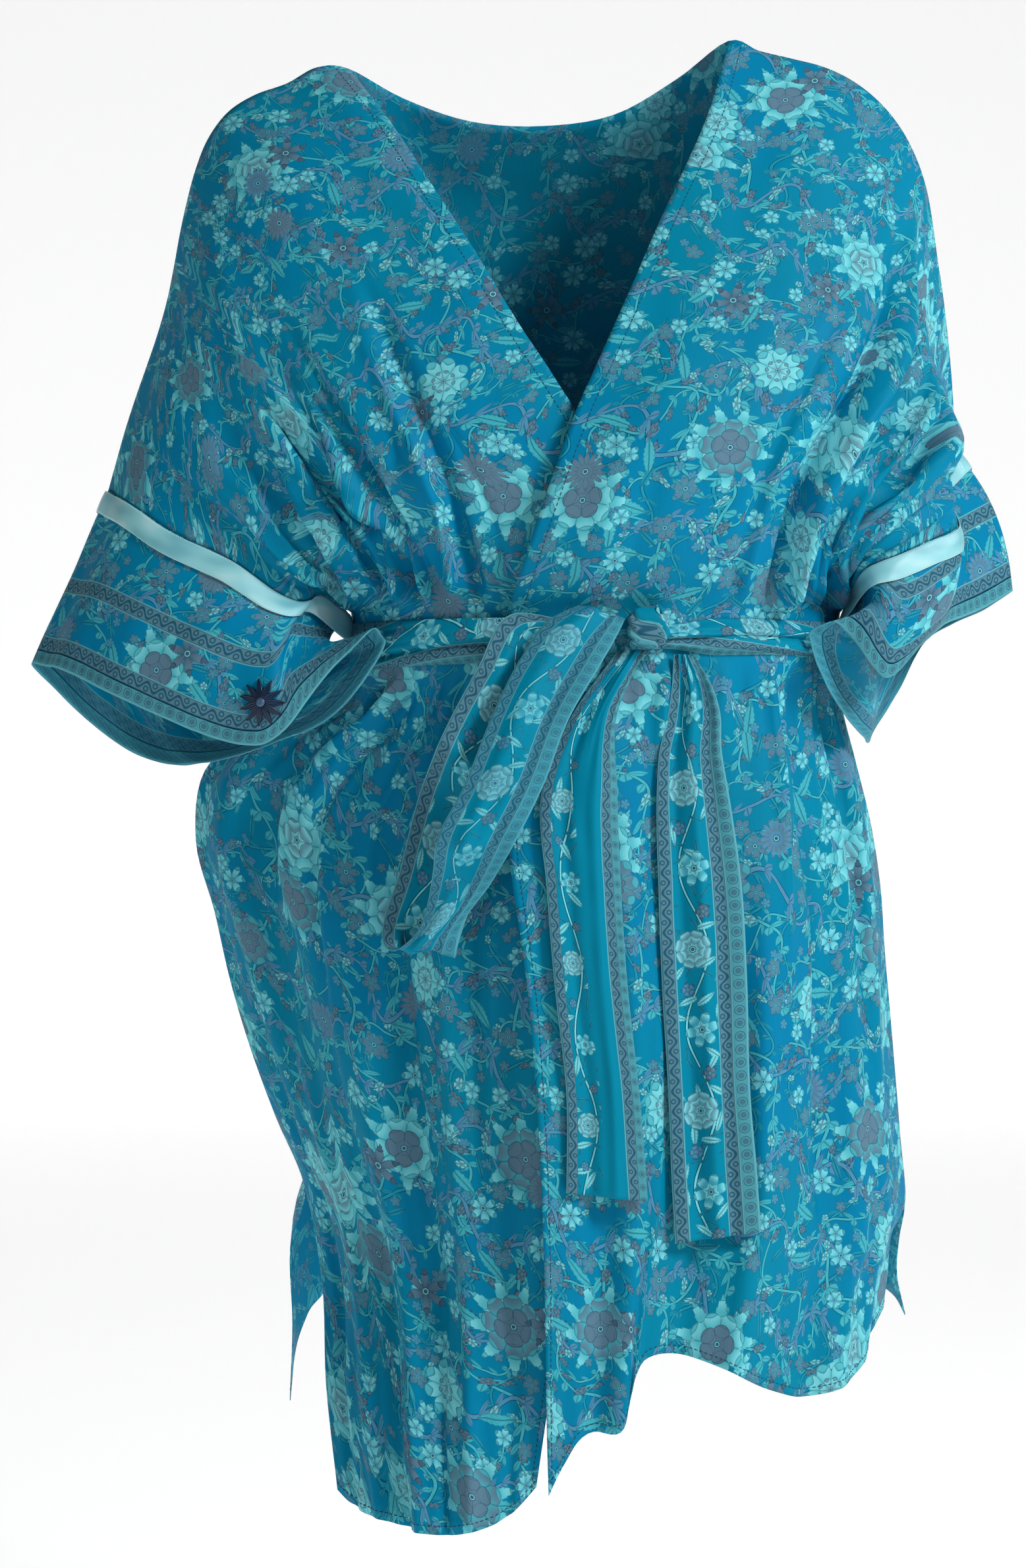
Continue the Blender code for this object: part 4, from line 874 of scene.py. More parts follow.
def shell(name, grid, uv, thick, way, ring=False):
    """A thin closed shell behind a grid, with the cloth's metres as its UV map.

    Its reverse attribute is 1 on the inner face.
    """
    points, faces, corners = closed_sheet(grid, grid + thick * way, ring)
    piece = mesh_object(name, points, faces.tolist())
    layer = piece.data.uv_layers.new(name="cloth")
    layer.data.foreach_set("uv", uv[corners[..., 0], corners[..., 1]].ravel())
    reverse = piece.data.attributes.new("reverse", "FLOAT", "POINT")
    reverse.data.foreach_set("value", np.repeat([0.0, 1.0], len(points) // 2))
    piece.data.shade_smooth()
    return piece


def strip_shell(name, coarse, seed, gathers, lengthwise):
    """A hanging stretch of sash, gathered at its head, with soft lengthwise folds."""
    grid = refine(coarse, *STRIP_FINE)
    c = np.linspace(0, 1, grid.shape[1])[None, :]
    t = np.linspace(0, 1, grid.shape[0])[:, None]
    depth = np.zeros(grid.shape[:2])
    for place, width, size, drift in lengthwise:
        depth = depth + size * np.exp(-(((c - place - drift * t) / width) ** 2))
    pleats = abs(np.sin(math.pi * (gathers * c + PLEAT_SLANT * t + PLEAT_SHIFT))) ** PLEAT_SHARP
    depth = depth * ease(t, 0.0, HEAD_FADE) + PLEAT_DEPTH * pleats * (1 - ease(t, *PLEAT_FADE))
    grid = grid + depth[..., None] * normals(grid)
    across = lengths(grid, 1)
    share = across / across[:, -1:]
    middle = grid.shape[1] // 2
    along = lengths(grid, 0)[:, middle : middle + 1] + seed + 0 * share
    grid = grid + ripple(grid, np.stack([share * STRIP_WAVE_WIDTH, along], axis=2), STRIP_WAVE, seed)
    return shell(name, grid, np.stack([along, share], axis=2), SASH_SHELL, normals(grid))


def band_shell():
    """The sash round the waist, with an upper layer that laps over a lower one."""
    grid = np.zeros((BAND_COLUMNS, BAND_ROWS, 3))
    for i, k in enumerate(np.linspace(0, 1, BAND_ROWS)):
        turn = BAND_HEAD + (BAND_END - BAND_HEAD) * k
        pinch = BAND_PINCH * (1 - float(ease(k, 0.0, BAND_PINCH_REACH)))
        top = sash_level(turn, SASH_TOPS) - BAND_DROP - pinch
        foot = sash_level(turn, SASH_FEET) + BAND_INSET + pinch
        size, rate, shift = BAND_WOBBLE
        wobble = size * math.sin(rate * k + shift) + BAND_QUIVER[0] * math.sin(BAND_QUIVER[1] * k)
        sway = BAND_PLEATS[1] * math.sin(BAND_PLEATS[2] * k)
        sag = BAND_SAG[0] * math.sin(BAND_SAG[1] * k)
        for j, c in enumerate(np.linspace(0, 1, BAND_COLUMNS)):
            bulge = 1 - abs(2 * c - 1) ** BAND_ROUND[0]
            fold = abs(math.sin(math.pi * (BAND_LAYERS * c + wobble))) ** BAND_ROUND[1]
            finer = abs(math.sin(math.pi * (BAND_PLEATS[0] * c - sway))) ** BAND_ROUND[2]
            rise = BAND_RISE[0] + BAND_RISE[1] * fold + BAND_RISE[2] * finer
            out = BAND_CLEAR + BAND_THICK * bulge * rise
            drop = sag + BAND_SAG[2] * fold
            grid[j, i] = waist(turn, top + (foot - top) * min(max(c + drop * bulge, 0.0), 1.0), out)
    k = np.linspace(0, 1, BAND_ROWS)[None, :]
    c = np.linspace(0, 1, BAND_COLUMNS)[:, None]
    drift = 0.5 + 0.5 * np.sin(2 * np.pi * BAND_WAVES * k + BAND_DRIFT)
    uv = np.stack([k * BAND_LENGTH + BAND_ALONG + 0 * c, BAND_SHOWS * c + (1 - BAND_SHOWS) * drift], axis=2)
    way = normals(grid)
    outward = np.sum(way * (grid - (WAIST_X, WAIST_Y, 0.0)) * (1, 1, 0), axis=2, keepdims=True)
    return shell("sash_band_cloth", grid, uv, SASH_SHELL, -way * np.sign(outward))


def corner_power(value):
    """A cosine or sine that stays near 1, for a section with round corners."""
    return math.copysign(abs(value) ** KNOT_CORNER, value)


def knot_shell():
    """The knot: gathered cloth wrapped round itself."""
    grid = np.zeros((KNOT_RINGS, KNOT_SPANS + 1, 3))
    uv = np.zeros((KNOT_RINGS, KNOT_SPANS + 1, 2))
    middle = np.array(KNOT_AT) - (0, 0, KNOT_DROP)
    for i, c in np.ndindex(grid.shape[:2]):
        k = i / (KNOT_RINGS - 1)
        lean = math.pi * (KNOT_ENDS[0] + (KNOT_ENDS[1] - KNOT_ENDS[0]) * k)
        angle = 2 * math.pi * c / KNOT_SPANS
        slant = -KNOT_SLANT[0] * math.cos(lean) - KNOT_SLANT[1] * math.cos(angle)
        wide = abs(math.sin(lean)) ** KNOT_ROUND[0]
        pleat = abs(math.sin(math.pi * (KNOT_PLEATS[0] * slant + KNOT_PLEATS[1]))) ** KNOT_ROUND[1]
        wide = wide * (KNOT_WAIST + wide * KNOT_PLEAT * pleat)
        x = wide * corner_power(math.cos(angle))
        y = -wide * corner_power(math.sin(angle))
        z = KNOT_SHORT * math.cos(lean) * (1 + KNOT_LEAN * math.cos(angle))
        grid[i, c] = middle + np.array(KNOT_HALF) * (x, y, z)
        uv[i, c] = (KNOT_LENGTH * k + KNOT_ALONG, KNOT_STRIPES[0] + KNOT_STRIPES[1] * slant)
    way = ring_normals(grid)
    inward = np.sign(np.sum(way * (np.array(KNOT_AT) - grid), axis=2, keepdims=True))
    return shell("sash_knot_cloth", grid, uv, SASH_SHELL, way * inward, ring=True)


def petal(centre, across, up, normal, tree, angle):
    """Points and faces of one petal: pointed, with raised rims and a ridge along it."""
    way = math.cos(angle) * across + math.sin(angle) * up
    aside = math.cos(angle + math.pi / 2) * across + math.sin(angle + math.pi / 2) * up
    grid = np.zeros((PETAL_SPANS + 1, PETAL_SIDES + 1, 3))
    for i, j in np.ndindex(grid.shape[:2]):
        t = i / PETAL_SPANS
        c = 2 * j / PETAL_SIDES - 1
        reach = FLOWER_RADIUS * (PETAL_START + (1 - PETAL_START) * t)
        swell = math.sin(math.pi * (PETAL_BASE + (1 - PETAL_BASE) * t) ** PETAL_TAPER)
        half = PETAL_HALF * max(swell, PETAL_LEAST)
        flat = centre + reach * way + half * c * aside
        spot = np.array(tree.ray_cast(Vector(flat + CAST_HEIGHT * normal), Vector(-normal))[0] or flat)
        rim = PETAL_RIM * math.exp(-(((abs(c) - PETAL_RIM_AT) / PETAL_CREST) ** 2))
        ridge = PETAL_RIDGE * math.exp(-((c / PETAL_CREST) ** 2))
        rise = PETAL_RISE + rim + (ridge + PETAL_RISE) * (1 - t)
        rise = rise * (1 - PETAL_DROP * (abs(c) > PETAL_BRINK))
        grid[i, j] = spot + (FLOWER_CLEAR + rise) * normal
    return closed_sheet(grid, grid - PETAL_THICK * normal)[:2]


def dome(centre, across, up, normal):
    """Points and faces of the flower's eye: a low round button with a dimple."""
    points = [centre + normal * EYE_RISE * (1 - EYE_DIMPLE)]
    for i in range(1, EYE_RINGS + 1):
        t = i / EYE_RINGS
        bulge = math.cos(t * math.pi / 2) ** EYE_ROUND + EYE_BULGE * math.sin(t * math.pi)
        height = EYE_RISE * (bulge - EYE_DIMPLE * (1 - t) ** 3)
        for k in range(EYE_SIDES):
            angle = 2 * math.pi * k / EYE_SIDES
            way = math.cos(angle) * across + math.sin(angle) * up
            points.append(centre + EYE_RADIUS * t * way + height * normal)
    faces = [(0, 1 + k, 1 + (k + 1) % EYE_SIDES) for k in range(EYE_SIDES)]
    for i, k in np.ndindex(EYE_RINGS - 1, EYE_SIDES):
        a, b = (1 + i * EYE_SIDES + side % EYE_SIDES for side in (k, k + 1))
        faces.append((a, a + EYE_SIDES, b + EYE_SIDES, b))
    return points, faces


def flower_shells(coarse, fine):
    """The sewn flower's petals and its eye, on the cuff where its solid lies."""
    u, v = FLOWER_PLACE
    row = np.interp(v, CUFF_LEVELS, range(len(CUFF_LEVELS))) * CUFF_FINE[0]
    centre = fine[int(round(row)), int(round(u * UPPER_ROWS * CUFF_FINE[1]))]
    tree = surface(fine[:, :-1], ring=True)
    normal = np.array(surface(coarse, ring=True).find_nearest(Vector(centre))[1])
    normal = -normal if normal[1] > 0 else normal
    across = unit(np.cross(normal, (0, 0, 1)))
    up = np.cross(across, normal)
    points, faces = [], []
    for k in range(FLOWER_PETALS):
        angle = 2 * math.pi * (k + 0.5) / FLOWER_PETALS
        more, cells = petal(centre, across, up, normal, tree, angle)
        faces += (cells + len(points)).tolist()
        points += list(more)
    eye = dome(centre + normal * (FLOWER_CLEAR + EYE_CLEAR), across, up, normal)
    pieces = [mesh_object("sewn_flower_petals", points, faces), mesh_object("sewn_flower_eye", *eye)]
    for piece in pieces:
        piece.data.shade_smooth()
    return pieces


def inset(grid, distance):
    """Points and normals on a grid at a distance in from its first column."""
    way = normals(grid)
    points, ways = [], []
    for i, marks in enumerate(lengths(grid, 1)):
        j = min(int(np.searchsorted(marks[1:], distance)), len(marks) - 2)
        k = min((distance - marks[j]) / max(marks[j + 1] - marks[j], 1e-9), 1.0)
        points.append(grid[i, j] * (1 - k) + grid[i, j + 1] * k)
        ways.append(way[i, j])
    return np.array(points), np.array(ways)


def along_line(at, marks, rows):
    """What the rows of a line hold at a distance along it."""
    return np.array([np.interp(at, marks, rows[:, k]) for k in range(3)])


def stitches(name, runs):
    """A run of thread along each line of points: one low stitch after another."""
    points, faces = [], []
    for line, ways in runs:
        marks = lengths(line, 0)
        for start in np.arange(STITCH_START, marks[-1] - STITCH_LENGTH, STITCH_STEP):
            ends = []
            for at in (start, start + STITCH_LENGTH / 2, start + STITCH_LENGTH):
                spot, up = (along_line(at, marks, rows) for rows in (line, ways))
                ends.append((spot, unit(up)))
            add_stitch(points, faces, ends)
    piece = mesh_object(name, points, faces)
    piece.data.shade_smooth()
    return piece


def add_stitch(points, faces, ends):
    """One stitch: a flat bar that dips into the cloth at both ends."""
    base = len(points)
    along = unit(ends[2][0] - ends[0][0])
    for (spot, up), rise in zip(ends, STITCH_ARCH):
        aside = unit(np.cross(along, up)) * STITCH_WIDTH / 2
        high = spot + up * STITCH_RISE * rise
        low = spot - up * STITCH_RISE
        points += [high - aside, high + aside, low + aside, low - aside]
    for i, k in np.ndindex(2, 4):
        a, b = base + i * 4 + k, base + i * 4 + (k + 1) % 4
        faces.append((a, b, b + 4, a + 4))
    faces.append(tuple(base + k for k in (3, 2, 1, 0)))
    faces.append(tuple(base + 8 + k for k in range(4)))


def srgb(red, green, blue):
    """A linear colour from the 0 to 255 values of a screen."""
    parts = [c / 255 for c in (red, green, blue)]
    return (*[c / 12.92 if c <= 0.04045 else ((c + 0.055) / 1.055) ** 2.4 for c in parts], 1.0)


GROUND = srgb(0, 132, 178)
GROUND_GREEN = srgb(0, 137, 170)
PALE = srgb(124, 220, 230)
PALE_DEEP = srgb(34, 154, 182)
STEM = srgb(70, 184, 200)
MAUVE = srgb(96, 134, 156)
MAUVE_DEEP = srgb(64, 98, 122)
LILAC = srgb(82, 150, 186)
OUTLINE = srgb(2, 48, 76)
GREY_BAND = srgb(90, 138, 154)
SCROLL = srgb(38, 94, 120)
BEAD_AQUA = srgb(80, 158, 172)
EDGE_AQUA = srgb(104, 178, 190)
PLAIN_TEAL = srgb(0, 138, 170)
# The satin ribbon in painted light: a painted glint, a painted middle tone and a painted shade
RIBBON_PAINTED_GLINT = srgb(224, 255, 255)
RIBBON_PAINTED_MIDTONE = srgb(156, 226, 234)
RIBBON_PAINTED_SHADE = srgb(98, 182, 198)
RIBBON_DOT = srgb(196, 240, 240)
THREAD = srgb(22, 78, 104)
NAVY_PETAL = srgb(8, 44, 78)
BLUE_EYE = srgb(66, 100, 140)

# The print's scale: lengths in metres, a step that sets the layers' cells apart, shares and
# strengths of its lines, the cloth's grain, and how often its noises vary in a metre
LINE = 0.0005
SEED_STEP = (7.31, 3.17)
TURN = 6.283
SAW_TEETH = 1.6
SAW_DEPTH = 0.22
RING_BEND = 0.35
RING_TONE = 0.75
PETAL_LINES = 0.62
LEAF_LINES = 0.55
BLADE_LINES = 0.5
EYE_SHARE = (0.20, 0.15)
EYE_RING = 0.11
LEAVES_SHOWN = 0.72
LEAF_SLANT = (0.70, 0.55)
BUD_SPREAD = 3.0
BEAD_STEP = 0.0080
SCROLL_STEP = 0.0120
VINE_STEP = 0.0980
RIBBON_DOTS = 0.0016
BUMP = 0.0003
GROUND_PATCHES = 5.0
DRIFTS = 14.0
SLUB = (900.0, 120.0)
SLUB_SHADE = (0.12, 0.94)
REVERSE_FADE = 0.30
# How often the satin's streaks, which are bumps and painted sheen, and its patches of painted glint and
# painted shade vary along and across it
SATIN_STREAKS_AND_SHEEN = (60.0, 3000.0)
SATIN_PAINTED_LIGHT = (26.0, 0.8)

Bloom = namedtuple("Bloom", "seed per_metre share petals radius notch point pale deep mauve rings")
Leaf = namedtuple("Leaf", "seed per_metre share length width colour")

# A trail is a row of long wavy stems: its angle in degrees, the distance between its
# rows, the length and swing of its waves, how far it wanders, and its stem, leaves and buds
Trail = namedtuple(
    "Trail", "seed angle apart wave swing wander stem leaf_step leaf_length leaf_width bud colour"
)
TRAILS = [
    Trail(2, 107.0, 0.036, 0.050, 0.0080, 0.026, 0.0009, 0.0076, 0.0062, 0.0016, 0.0026, PALE_DEEP),
    Trail(4, 151.0, 0.041, 0.048, 0.0080, 0.024, 0.0008, 0.0070, 0.0056, 0.0015, 0.0024, STEM),
    Trail(3, 62.0, 0.044, 0.064, 0.0100, 0.028, 0.0010, 0.0092, 0.0082, 0.0023, 0.0034, STEM),
    Trail(1, 18.0, 0.050, 0.058, 0.0110, 0.030, 0.0012, 0.0085, 0.0074, 0.0021, 0.0030, LILAC),
]
LEAVES = [Leaf(9, 44.0, 0.26, 0.0085, 0.0026, PALE_DEEP), Leaf(4, 30.0, 0.30, 0.0130, 0.0042, STEM)]
BORDER_LEAVES = [Leaf(31, 96.0, 0.85, 0.0054, 0.0017, PALE_DEEP), Leaf(32, 66.0, 0.80, 0.0078, 0.0026, PALE)]
BLOOMS = [
    Bloom(11, 66.0, 0.36, 5, 0.0042, 0.50, 1.0, LILAC, PALE_DEEP, 0.5, 1),
    Bloom(12, 44.0, 0.40, 5, 0.0070, 0.50, 0.9, PALE, PALE_DEEP, 0.45, 1),
    Bloom(13, 30.0, 0.34, 6, 0.0100, 0.60, 1.0, PALE, PALE_DEEP, 0.40, 1),
    Bloom(21, 9.5, 0.62, 9, 0.0300, 0.66, 1.3, PALE, STEM, 0.0, 3),
    Bloom(21, 9.5, 0.62, 8, 0.0200, 0.26, 0.5, PALE, STEM, 0.30, 2),
    Bloom(21, 9.5, 0.62, 5, 0.0125, 0.22, 0.5, PALE, MAUVE, 0.55, 2),
    Bloom(23, 10.5, 0.46, 8, 0.0180, 0.38, 0.6, PALE, STEM, 0.25, 1),
    Bloom(23, 10.5, 0.46, 8, 0.0085, 0.30, 0.6, PALE, MAUVE, 0.35, 1),
    Bloom(25, 11.0, 0.26, 15, 0.0130, 0.42, 0.9, LILAC, MAUVE, 0.35, 2),
    Bloom(27, 10.0, 0.24, 6, 0.0150, 0.72, 1.2, MAUVE, MAUVE_DEEP, 0.5, 1),
]

# The flowers along the sash's vine: the place along a repeat and across the stripe as
# shares, then petals, radius as a share of the stripe's half width, notch, point and looks
VINE_BLOOMS = [
    (0.25, -0.12, 8, 0.98, 0.16, 0.6, PALE, MAUVE, 3),
    (0.75, 0.16, 6, 0.92, 0.46, 1.0, PALE, PALE_DEEP, 2),
    (0.02, 0.45, 5, 0.42, 0.45, 0.9, MAUVE, MAUVE_DEEP, 1),
    (0.50, -0.45, 5, 0.42, 0.45, 0.9, LILAC, MAUVE_DEEP, 1),
]

# Stripes in metres: of the cuffs, up from the hem, and of the sash, across its width
CUFF_STRIPES = [
    (0, 0.0012, "light"), (0.0012, 0.009, "beads"), (0.009, 0.01, "dark"), (0.01, 0.019, "scroll"),
    (0.019, 0.0198, "light"), (0.05, 0.0508, "light"), (0.0508, 0.06, "scroll"), (0.06, 0.0608, "light"),
]
SASH_STRIPES = [
    (0, 0.0008, "light"), (0.0008, 0.008, "scroll"), (0.008, 0.0088, "light"), (0.0088, 0.034, "vine"),
    (0.034, 0.0348, "light"), (0.0348, 0.0425, "scroll"), (0.0425, 0.0433, "light"), (0.0433, 0.051, "beads"),
    (0.051, 0.052, "light"),
]
TAIL_STRIPES = [
    (0, 0.0008, "light"), (0.0008, 0.007, "scroll"), (0.007, 0.024, "vine"), (0.024, 0.04, "plain"),
    (0.04, 0.0408, "light"), (0.0408, 0.047, "scroll"), (0.047, 0.052, "beads"),
]
PLAIN_STRIPES = {"light": EDGE_AQUA, "dark": OUTLINE, "plain": PLAIN_TEAL}


class Value:
    """A number in a shader tree, so that sums of sockets read like sums."""

    def __init__(self, graph, socket):
        self.graph = graph
        self.socket = socket

    def __add__(self, other):
        return self.graph.math("ADD", self, other)

    def __sub__(self, other):
        return self.graph.math("SUBTRACT", self, other)

    def __rsub__(self, other):
        return self.graph.math("SUBTRACT", other, self)

    def __mul__(self, other):
        return self.graph.math("MULTIPLY", self, other)

    def __truediv__(self, other):
        return self.graph.math("DIVIDE", self, other)

    def __abs__(self):
        return self.graph.math("ABSOLUTE", self)


class Graph:
    """Short calls for making the nodes of one shader tree."""

    def __init__(self, tree):
        self.tree = tree

    def node(self, kind, **settings):
        made = self.tree.nodes.new(kind)
        for name, value in settings.items():
            setattr(made, name, value)
        return made

    def put(self, socket, value):
        if isinstance(value, Value):
            value = value.socket
        if isinstance(value, bpy.types.NodeSocket):
            self.tree.links.new(value, socket)
        else:
            socket.default_value = value

    def values(self, sockets):
        return [Value(self, socket) for socket in sockets]

    def math(self, operation, *values):
        made = self.node("ShaderNodeMath", operation=operation)
        for socket, value in zip(made.inputs, values):
            self.put(socket, value)
        return Value(self, made.outputs[0])

    def largest(self, first, *others):
        for other in others:
            first = self.math("MAXIMUM", first, other)
        return first

    def vector(self, operation, first, second=None, scale=None):
        made = self.node("ShaderNodeVectorMath", operation=operation)
        self.put(made.inputs[0], first)
        if second is not None:
            self.put(made.inputs[1], second)
        if scale is not None:
            self.put(made.inputs["Scale"], scale)
        return made.outputs["Vector"]

    def reach(self, place):
        made = self.node("ShaderNodeVectorMath", operation="LENGTH")
        self.put(made.inputs[0], place)
        return Value(self, made.outputs["Value"])

    def parts(self, value):
        made = self.node("ShaderNodeSeparateXYZ")
        self.put(made.inputs[0], value)
        return self.values(made.outputs)

    def flat(self, x, y):
        """A place from its two parts."""
        made = self.node("ShaderNodeCombineXYZ")
        self.put(made.inputs[0], x)
        self.put(made.inputs[1], y)
        return made.outputs[0]

    def turned(self, place, angle):
        """The two parts of a place turned by an angle."""
        made = self.node("ShaderNodeVectorRotate", rotation_type="Z_AXIS")
        self.put(made.inputs["Vector"], place)
        self.put(made.inputs["Angle"], angle)
        return self.parts(made.outputs[0])[:2]

    def step(self, value, low, high):
        made = self.node("ShaderNodeMapRange", interpolation_type="SMOOTHSTEP")
        self.put(made.inputs["Value"], value)
        self.put(made.inputs["From Min"], low)
        self.put(made.inputs["From Max"], high)
        return Value(self, made.outputs["Result"])

    def mix(self, factor, first, second):
        made = self.node("ShaderNodeMix", data_type="RGBA")
        self.put(made.inputs["Factor"], factor)
        self.put(made.inputs[6], first)
        self.put(made.inputs[7], second)
        return made.outputs[2]

    def after(self, place, colour):
        """The same place, but worked out only once a colour is: layers are then done in turn."""
        if not isinstance(colour, bpy.types.NodeSocket):
            return place
        return self.vector("ADD", place, self.vector("SCALE", colour, scale=1e-9))

    def noise(self, place, scale, detail=2.0):
        made = self.node("ShaderNodeTexNoise")
        self.put(made.inputs["Vector"], place)
        made.inputs["Scale"].default_value = scale
        made.inputs["Detail"].default_value = detail
        return made.outputs["Color"], Value(self, made.outputs["Fac"])

    def streaks(self, place, scales, detail=2.0):
        """Noise stretched by a scale along the cloth and another across it."""
        return self.noise(self.vector("MULTIPLY", place, (*scales, 1.0)), 1.0, detail)[1]

    def bump(self, shader, height, strength):
        made = self.node("ShaderNodeBump")
        made.inputs["Strength"].default_value = strength
        made.inputs["Distance"].default_value = BUMP
        self.put(made.inputs["Height"], height)
        self.put(shader.inputs["Normal"], made.outputs[0])

    def cells(self, place, look):
        """Scattered cells of a layer: the place in metres from a cell's middle, and its chance."""
        moved = self.vector("ADD", place, (look.seed * SEED_STEP[0], look.seed * SEED_STEP[1], 0))
        made = self.node("ShaderNodeTexVoronoi", voronoi_dimensions="2D")
        scaled = self.vector("SCALE", moved, scale=look.per_metre)
        self.put(made.inputs["Vector"], scaled)
        made.inputs["Scale"].default_value = 1.0
        away = self.vector("SUBTRACT", scaled, made.outputs["Position"])
        chance = self.node("ShaderNodeSeparateColor")
        self.put(chance.inputs[0], made.outputs["Color"])
        return self.vector("SCALE", away, scale=1 / look.per_metre), self.values(chance.outputs)

    def bloom(self, ground, local, chance, look):
        """A flower over a ground: petals, their lines, inner rings and an eye."""
        x, y, _ = self.parts(local)
        reach = self.reach(local)
        turn = self.math("ARCTAN2", y, x) + (chance[0] * TURN if chance else 0.3)
        lobe = abs(self.math("COSINE", turn * (look.petals / 2)))
        if look.point > 1:
            saw = self.math("PINGPONG", turn * (look.petals * SAW_TEETH), 0.5)
            tip = 1.0 - self.math("ARCCOSINE", lobe) * (2 / math.pi) + saw * SAW_DEPTH
        else:
            tip = self.math("POWER", lobe, look.point)
        inside = (1.0 - (1.0 - tip) * look.notch) * look.radius - reach
        share = reach / look.radius
        rings = self.math("FRACT", share * look.rings + lobe * RING_BEND)
        light = look.pale
        if chance:
            light = self.mix(self.math("GREATER_THAN", chance[1], 1 - look.mauve), light, MAUVE)
        colour = self.mix(self.step(rings, 1.0, 0.25) * RING_TONE, light, look.deep)
        seams = self.step(lobe, 0.20, 0.04) * 0.7
        edge = self.step(inside, 2.4 * LINE, 0.6 * LINE)
        lines = self.largest(seams, edge, self.step(rings, 0.10, 0.0) * 0.8)
        colour = self.mix(lines * PETAL_LINES, colour, OUTLINE)
        colour = self.mix(self.step(share, *EYE_SHARE), colour, MAUVE_DEEP)
        colour = self.mix(self.step(abs(share - EYE_RING), 0.03, 0.01), colour, PALE)
        cover = self.step(inside, 0.0, LINE)
        if chance:
            cover = cover * self.math("LESS_THAN", chance[2], look.share)
        return self.mix(cover, ground, colour)

    def leaf(self, ground, local, chance, look):
        """A pointed leaf over a ground, with a vein along it and saw teeth."""
        x, y = self.turned(local, chance[0] * TURN)
        along = x / look.length
        teeth = self.math("PINGPONG", along * 4.0, 0.5) * 0.35
        away = abs(y)
        inside = (1.0 - along * along) * look.width * (teeth + 0.8) - away
        veins = self.step(self.math("FRACT", along * 3.0 + away * (-2.0 / look.width)), 0.22, 0.0) * 0.5
        lines = self.largest(self.step(away, 0.0007, 0.0002), veins, self.step(inside, 0.0009, 0.0002))
        colour = self.mix(lines * LEAF_LINES, look.colour, OUTLINE)
        cover = self.step(inside, 0.0, LINE) * self.math("LESS_THAN", chance[2], look.share)
        return self.mix(cover, ground, colour)

    def trail(self, ground, place, drift, look):
        """Wavy stems with leaves on both sides and a bud or flower here and there."""
        bent = self.vector("ADD", place, self.vector("SCALE", drift, scale=look.wander))
        x, y = self.turned(bent, math.radians(look.angle))
        row = self.math("FLOOR", y / look.apart)
        x = x + row * (look.seed * SEED_STEP[0] * look.leaf_step)
        turn = x * (2 * math.pi / look.wave)
        off = y + (row * -look.apart - look.apart / 2) - self.math("SINE", turn) * look.swing
        steep = self.math("COSINE", turn) * (look.swing * 2 * math.pi / look.wave)
        off = off * self.math("COSINE", self.math("ARCTANGENT", steep))
        away = abs(off)
        colour = self.mix(self.step(away, look.stem + 0.6 * LINE, look.stem), ground, OUTLINE)
        colour = self.mix(self.step(away, look.stem, look.stem - 0.6 * LINE), colour, look.colour)
        count = self.math("FLOOR", x / look.leaf_step)
        along = x - (count + 0.5) * look.leaf_step
        dice = self.node("ShaderNodeTexWhiteNoise", noise_dimensions="2D")
        self.put(dice.inputs["Vector"], self.flat(count * 1.37, row * 2.71 + look.seed))
        chance = self.parts(dice.outputs["Color"])
        for side, dropped in ((1, chance[0]), (-1, chance[1])):
            shown = self.math("LESS_THAN", dropped, LEAVES_SHOWN)
            slant = dropped * LEAF_SLANT[1] + LEAF_SLANT[0]
            colour = self.blade(colour, along, off * side, slant, shown, look)
        high = chance[1] * (BUD_SPREAD * look.bud) - BUD_SPREAD / 2 * look.bud
        bud = Bloom(0, 1.0, 0.34, 5, look.bud * 1.25, 0.50, 0.9, PALE, MAUVE_DEEP, 0.5, 1)
        return self.bloom(colour, self.flat(along, off - high), chance, bud)

    def blade(self, ground, along, up, slant, shown, look):
        """One leaf that leaves its stem at a slant."""
        cosine = self.math("COSINE", slant)
        sine = self.math("SINE", slant)
        half = look.leaf_length / 2
        share = (along * cosine + up * sine - half) / half
        away = abs(up * cosine - along * sine)
        inside = (1.0 - share * share) * look.leaf_width - away
        lines = self.largest(self.step(away, LINE, 0.0), self.step(inside, 1.4 * LINE, 0.4 * LINE))
        colour = self.mix(lines * BLADE_LINES, look.colour, OUTLINE)
        return self.mix(self.step(inside, 0.0, 0.6 * LINE) * shown, ground, colour)


def print_group():
    """The all-over print: its input is a place on the cloth in metres."""
    tree = bpy.data.node_groups.new("floral_print", "ShaderNodeTree")
    tree.interface.new_socket("Place", in_out="INPUT", socket_type="NodeSocketVector")
    tree.interface.new_socket("Color", in_out="OUTPUT", socket_type="NodeSocketColor")
    g = Graph(tree)
    place = g.node("NodeGroupInput").outputs[0]
    colour = g.mix(g.step(g.noise(place, GROUND_PATCHES)[1], 0.35, 0.65), GROUND, GROUND_GREEN)
    drift = g.vector("SUBTRACT", g.noise(place, DRIFTS, 1.0)[0], (0.5, 0.5, 0.5))
    for look in TRAILS:
        colour = g.trail(colour, g.after(place, colour), drift, look)
    for look in LEAVES:
        colour = g.leaf(colour, *g.cells(g.after(place, colour), look), look)
    seed = None
    for look in BLOOMS:
        if look.seed != seed:
            local, chance = g.cells(g.after(place, colour), look)
            seed = look.seed
        colour = g.bloom(colour, local, chance, look)
    g.put(g.node("NodeGroupOutput").inputs[0], colour)
    return tree


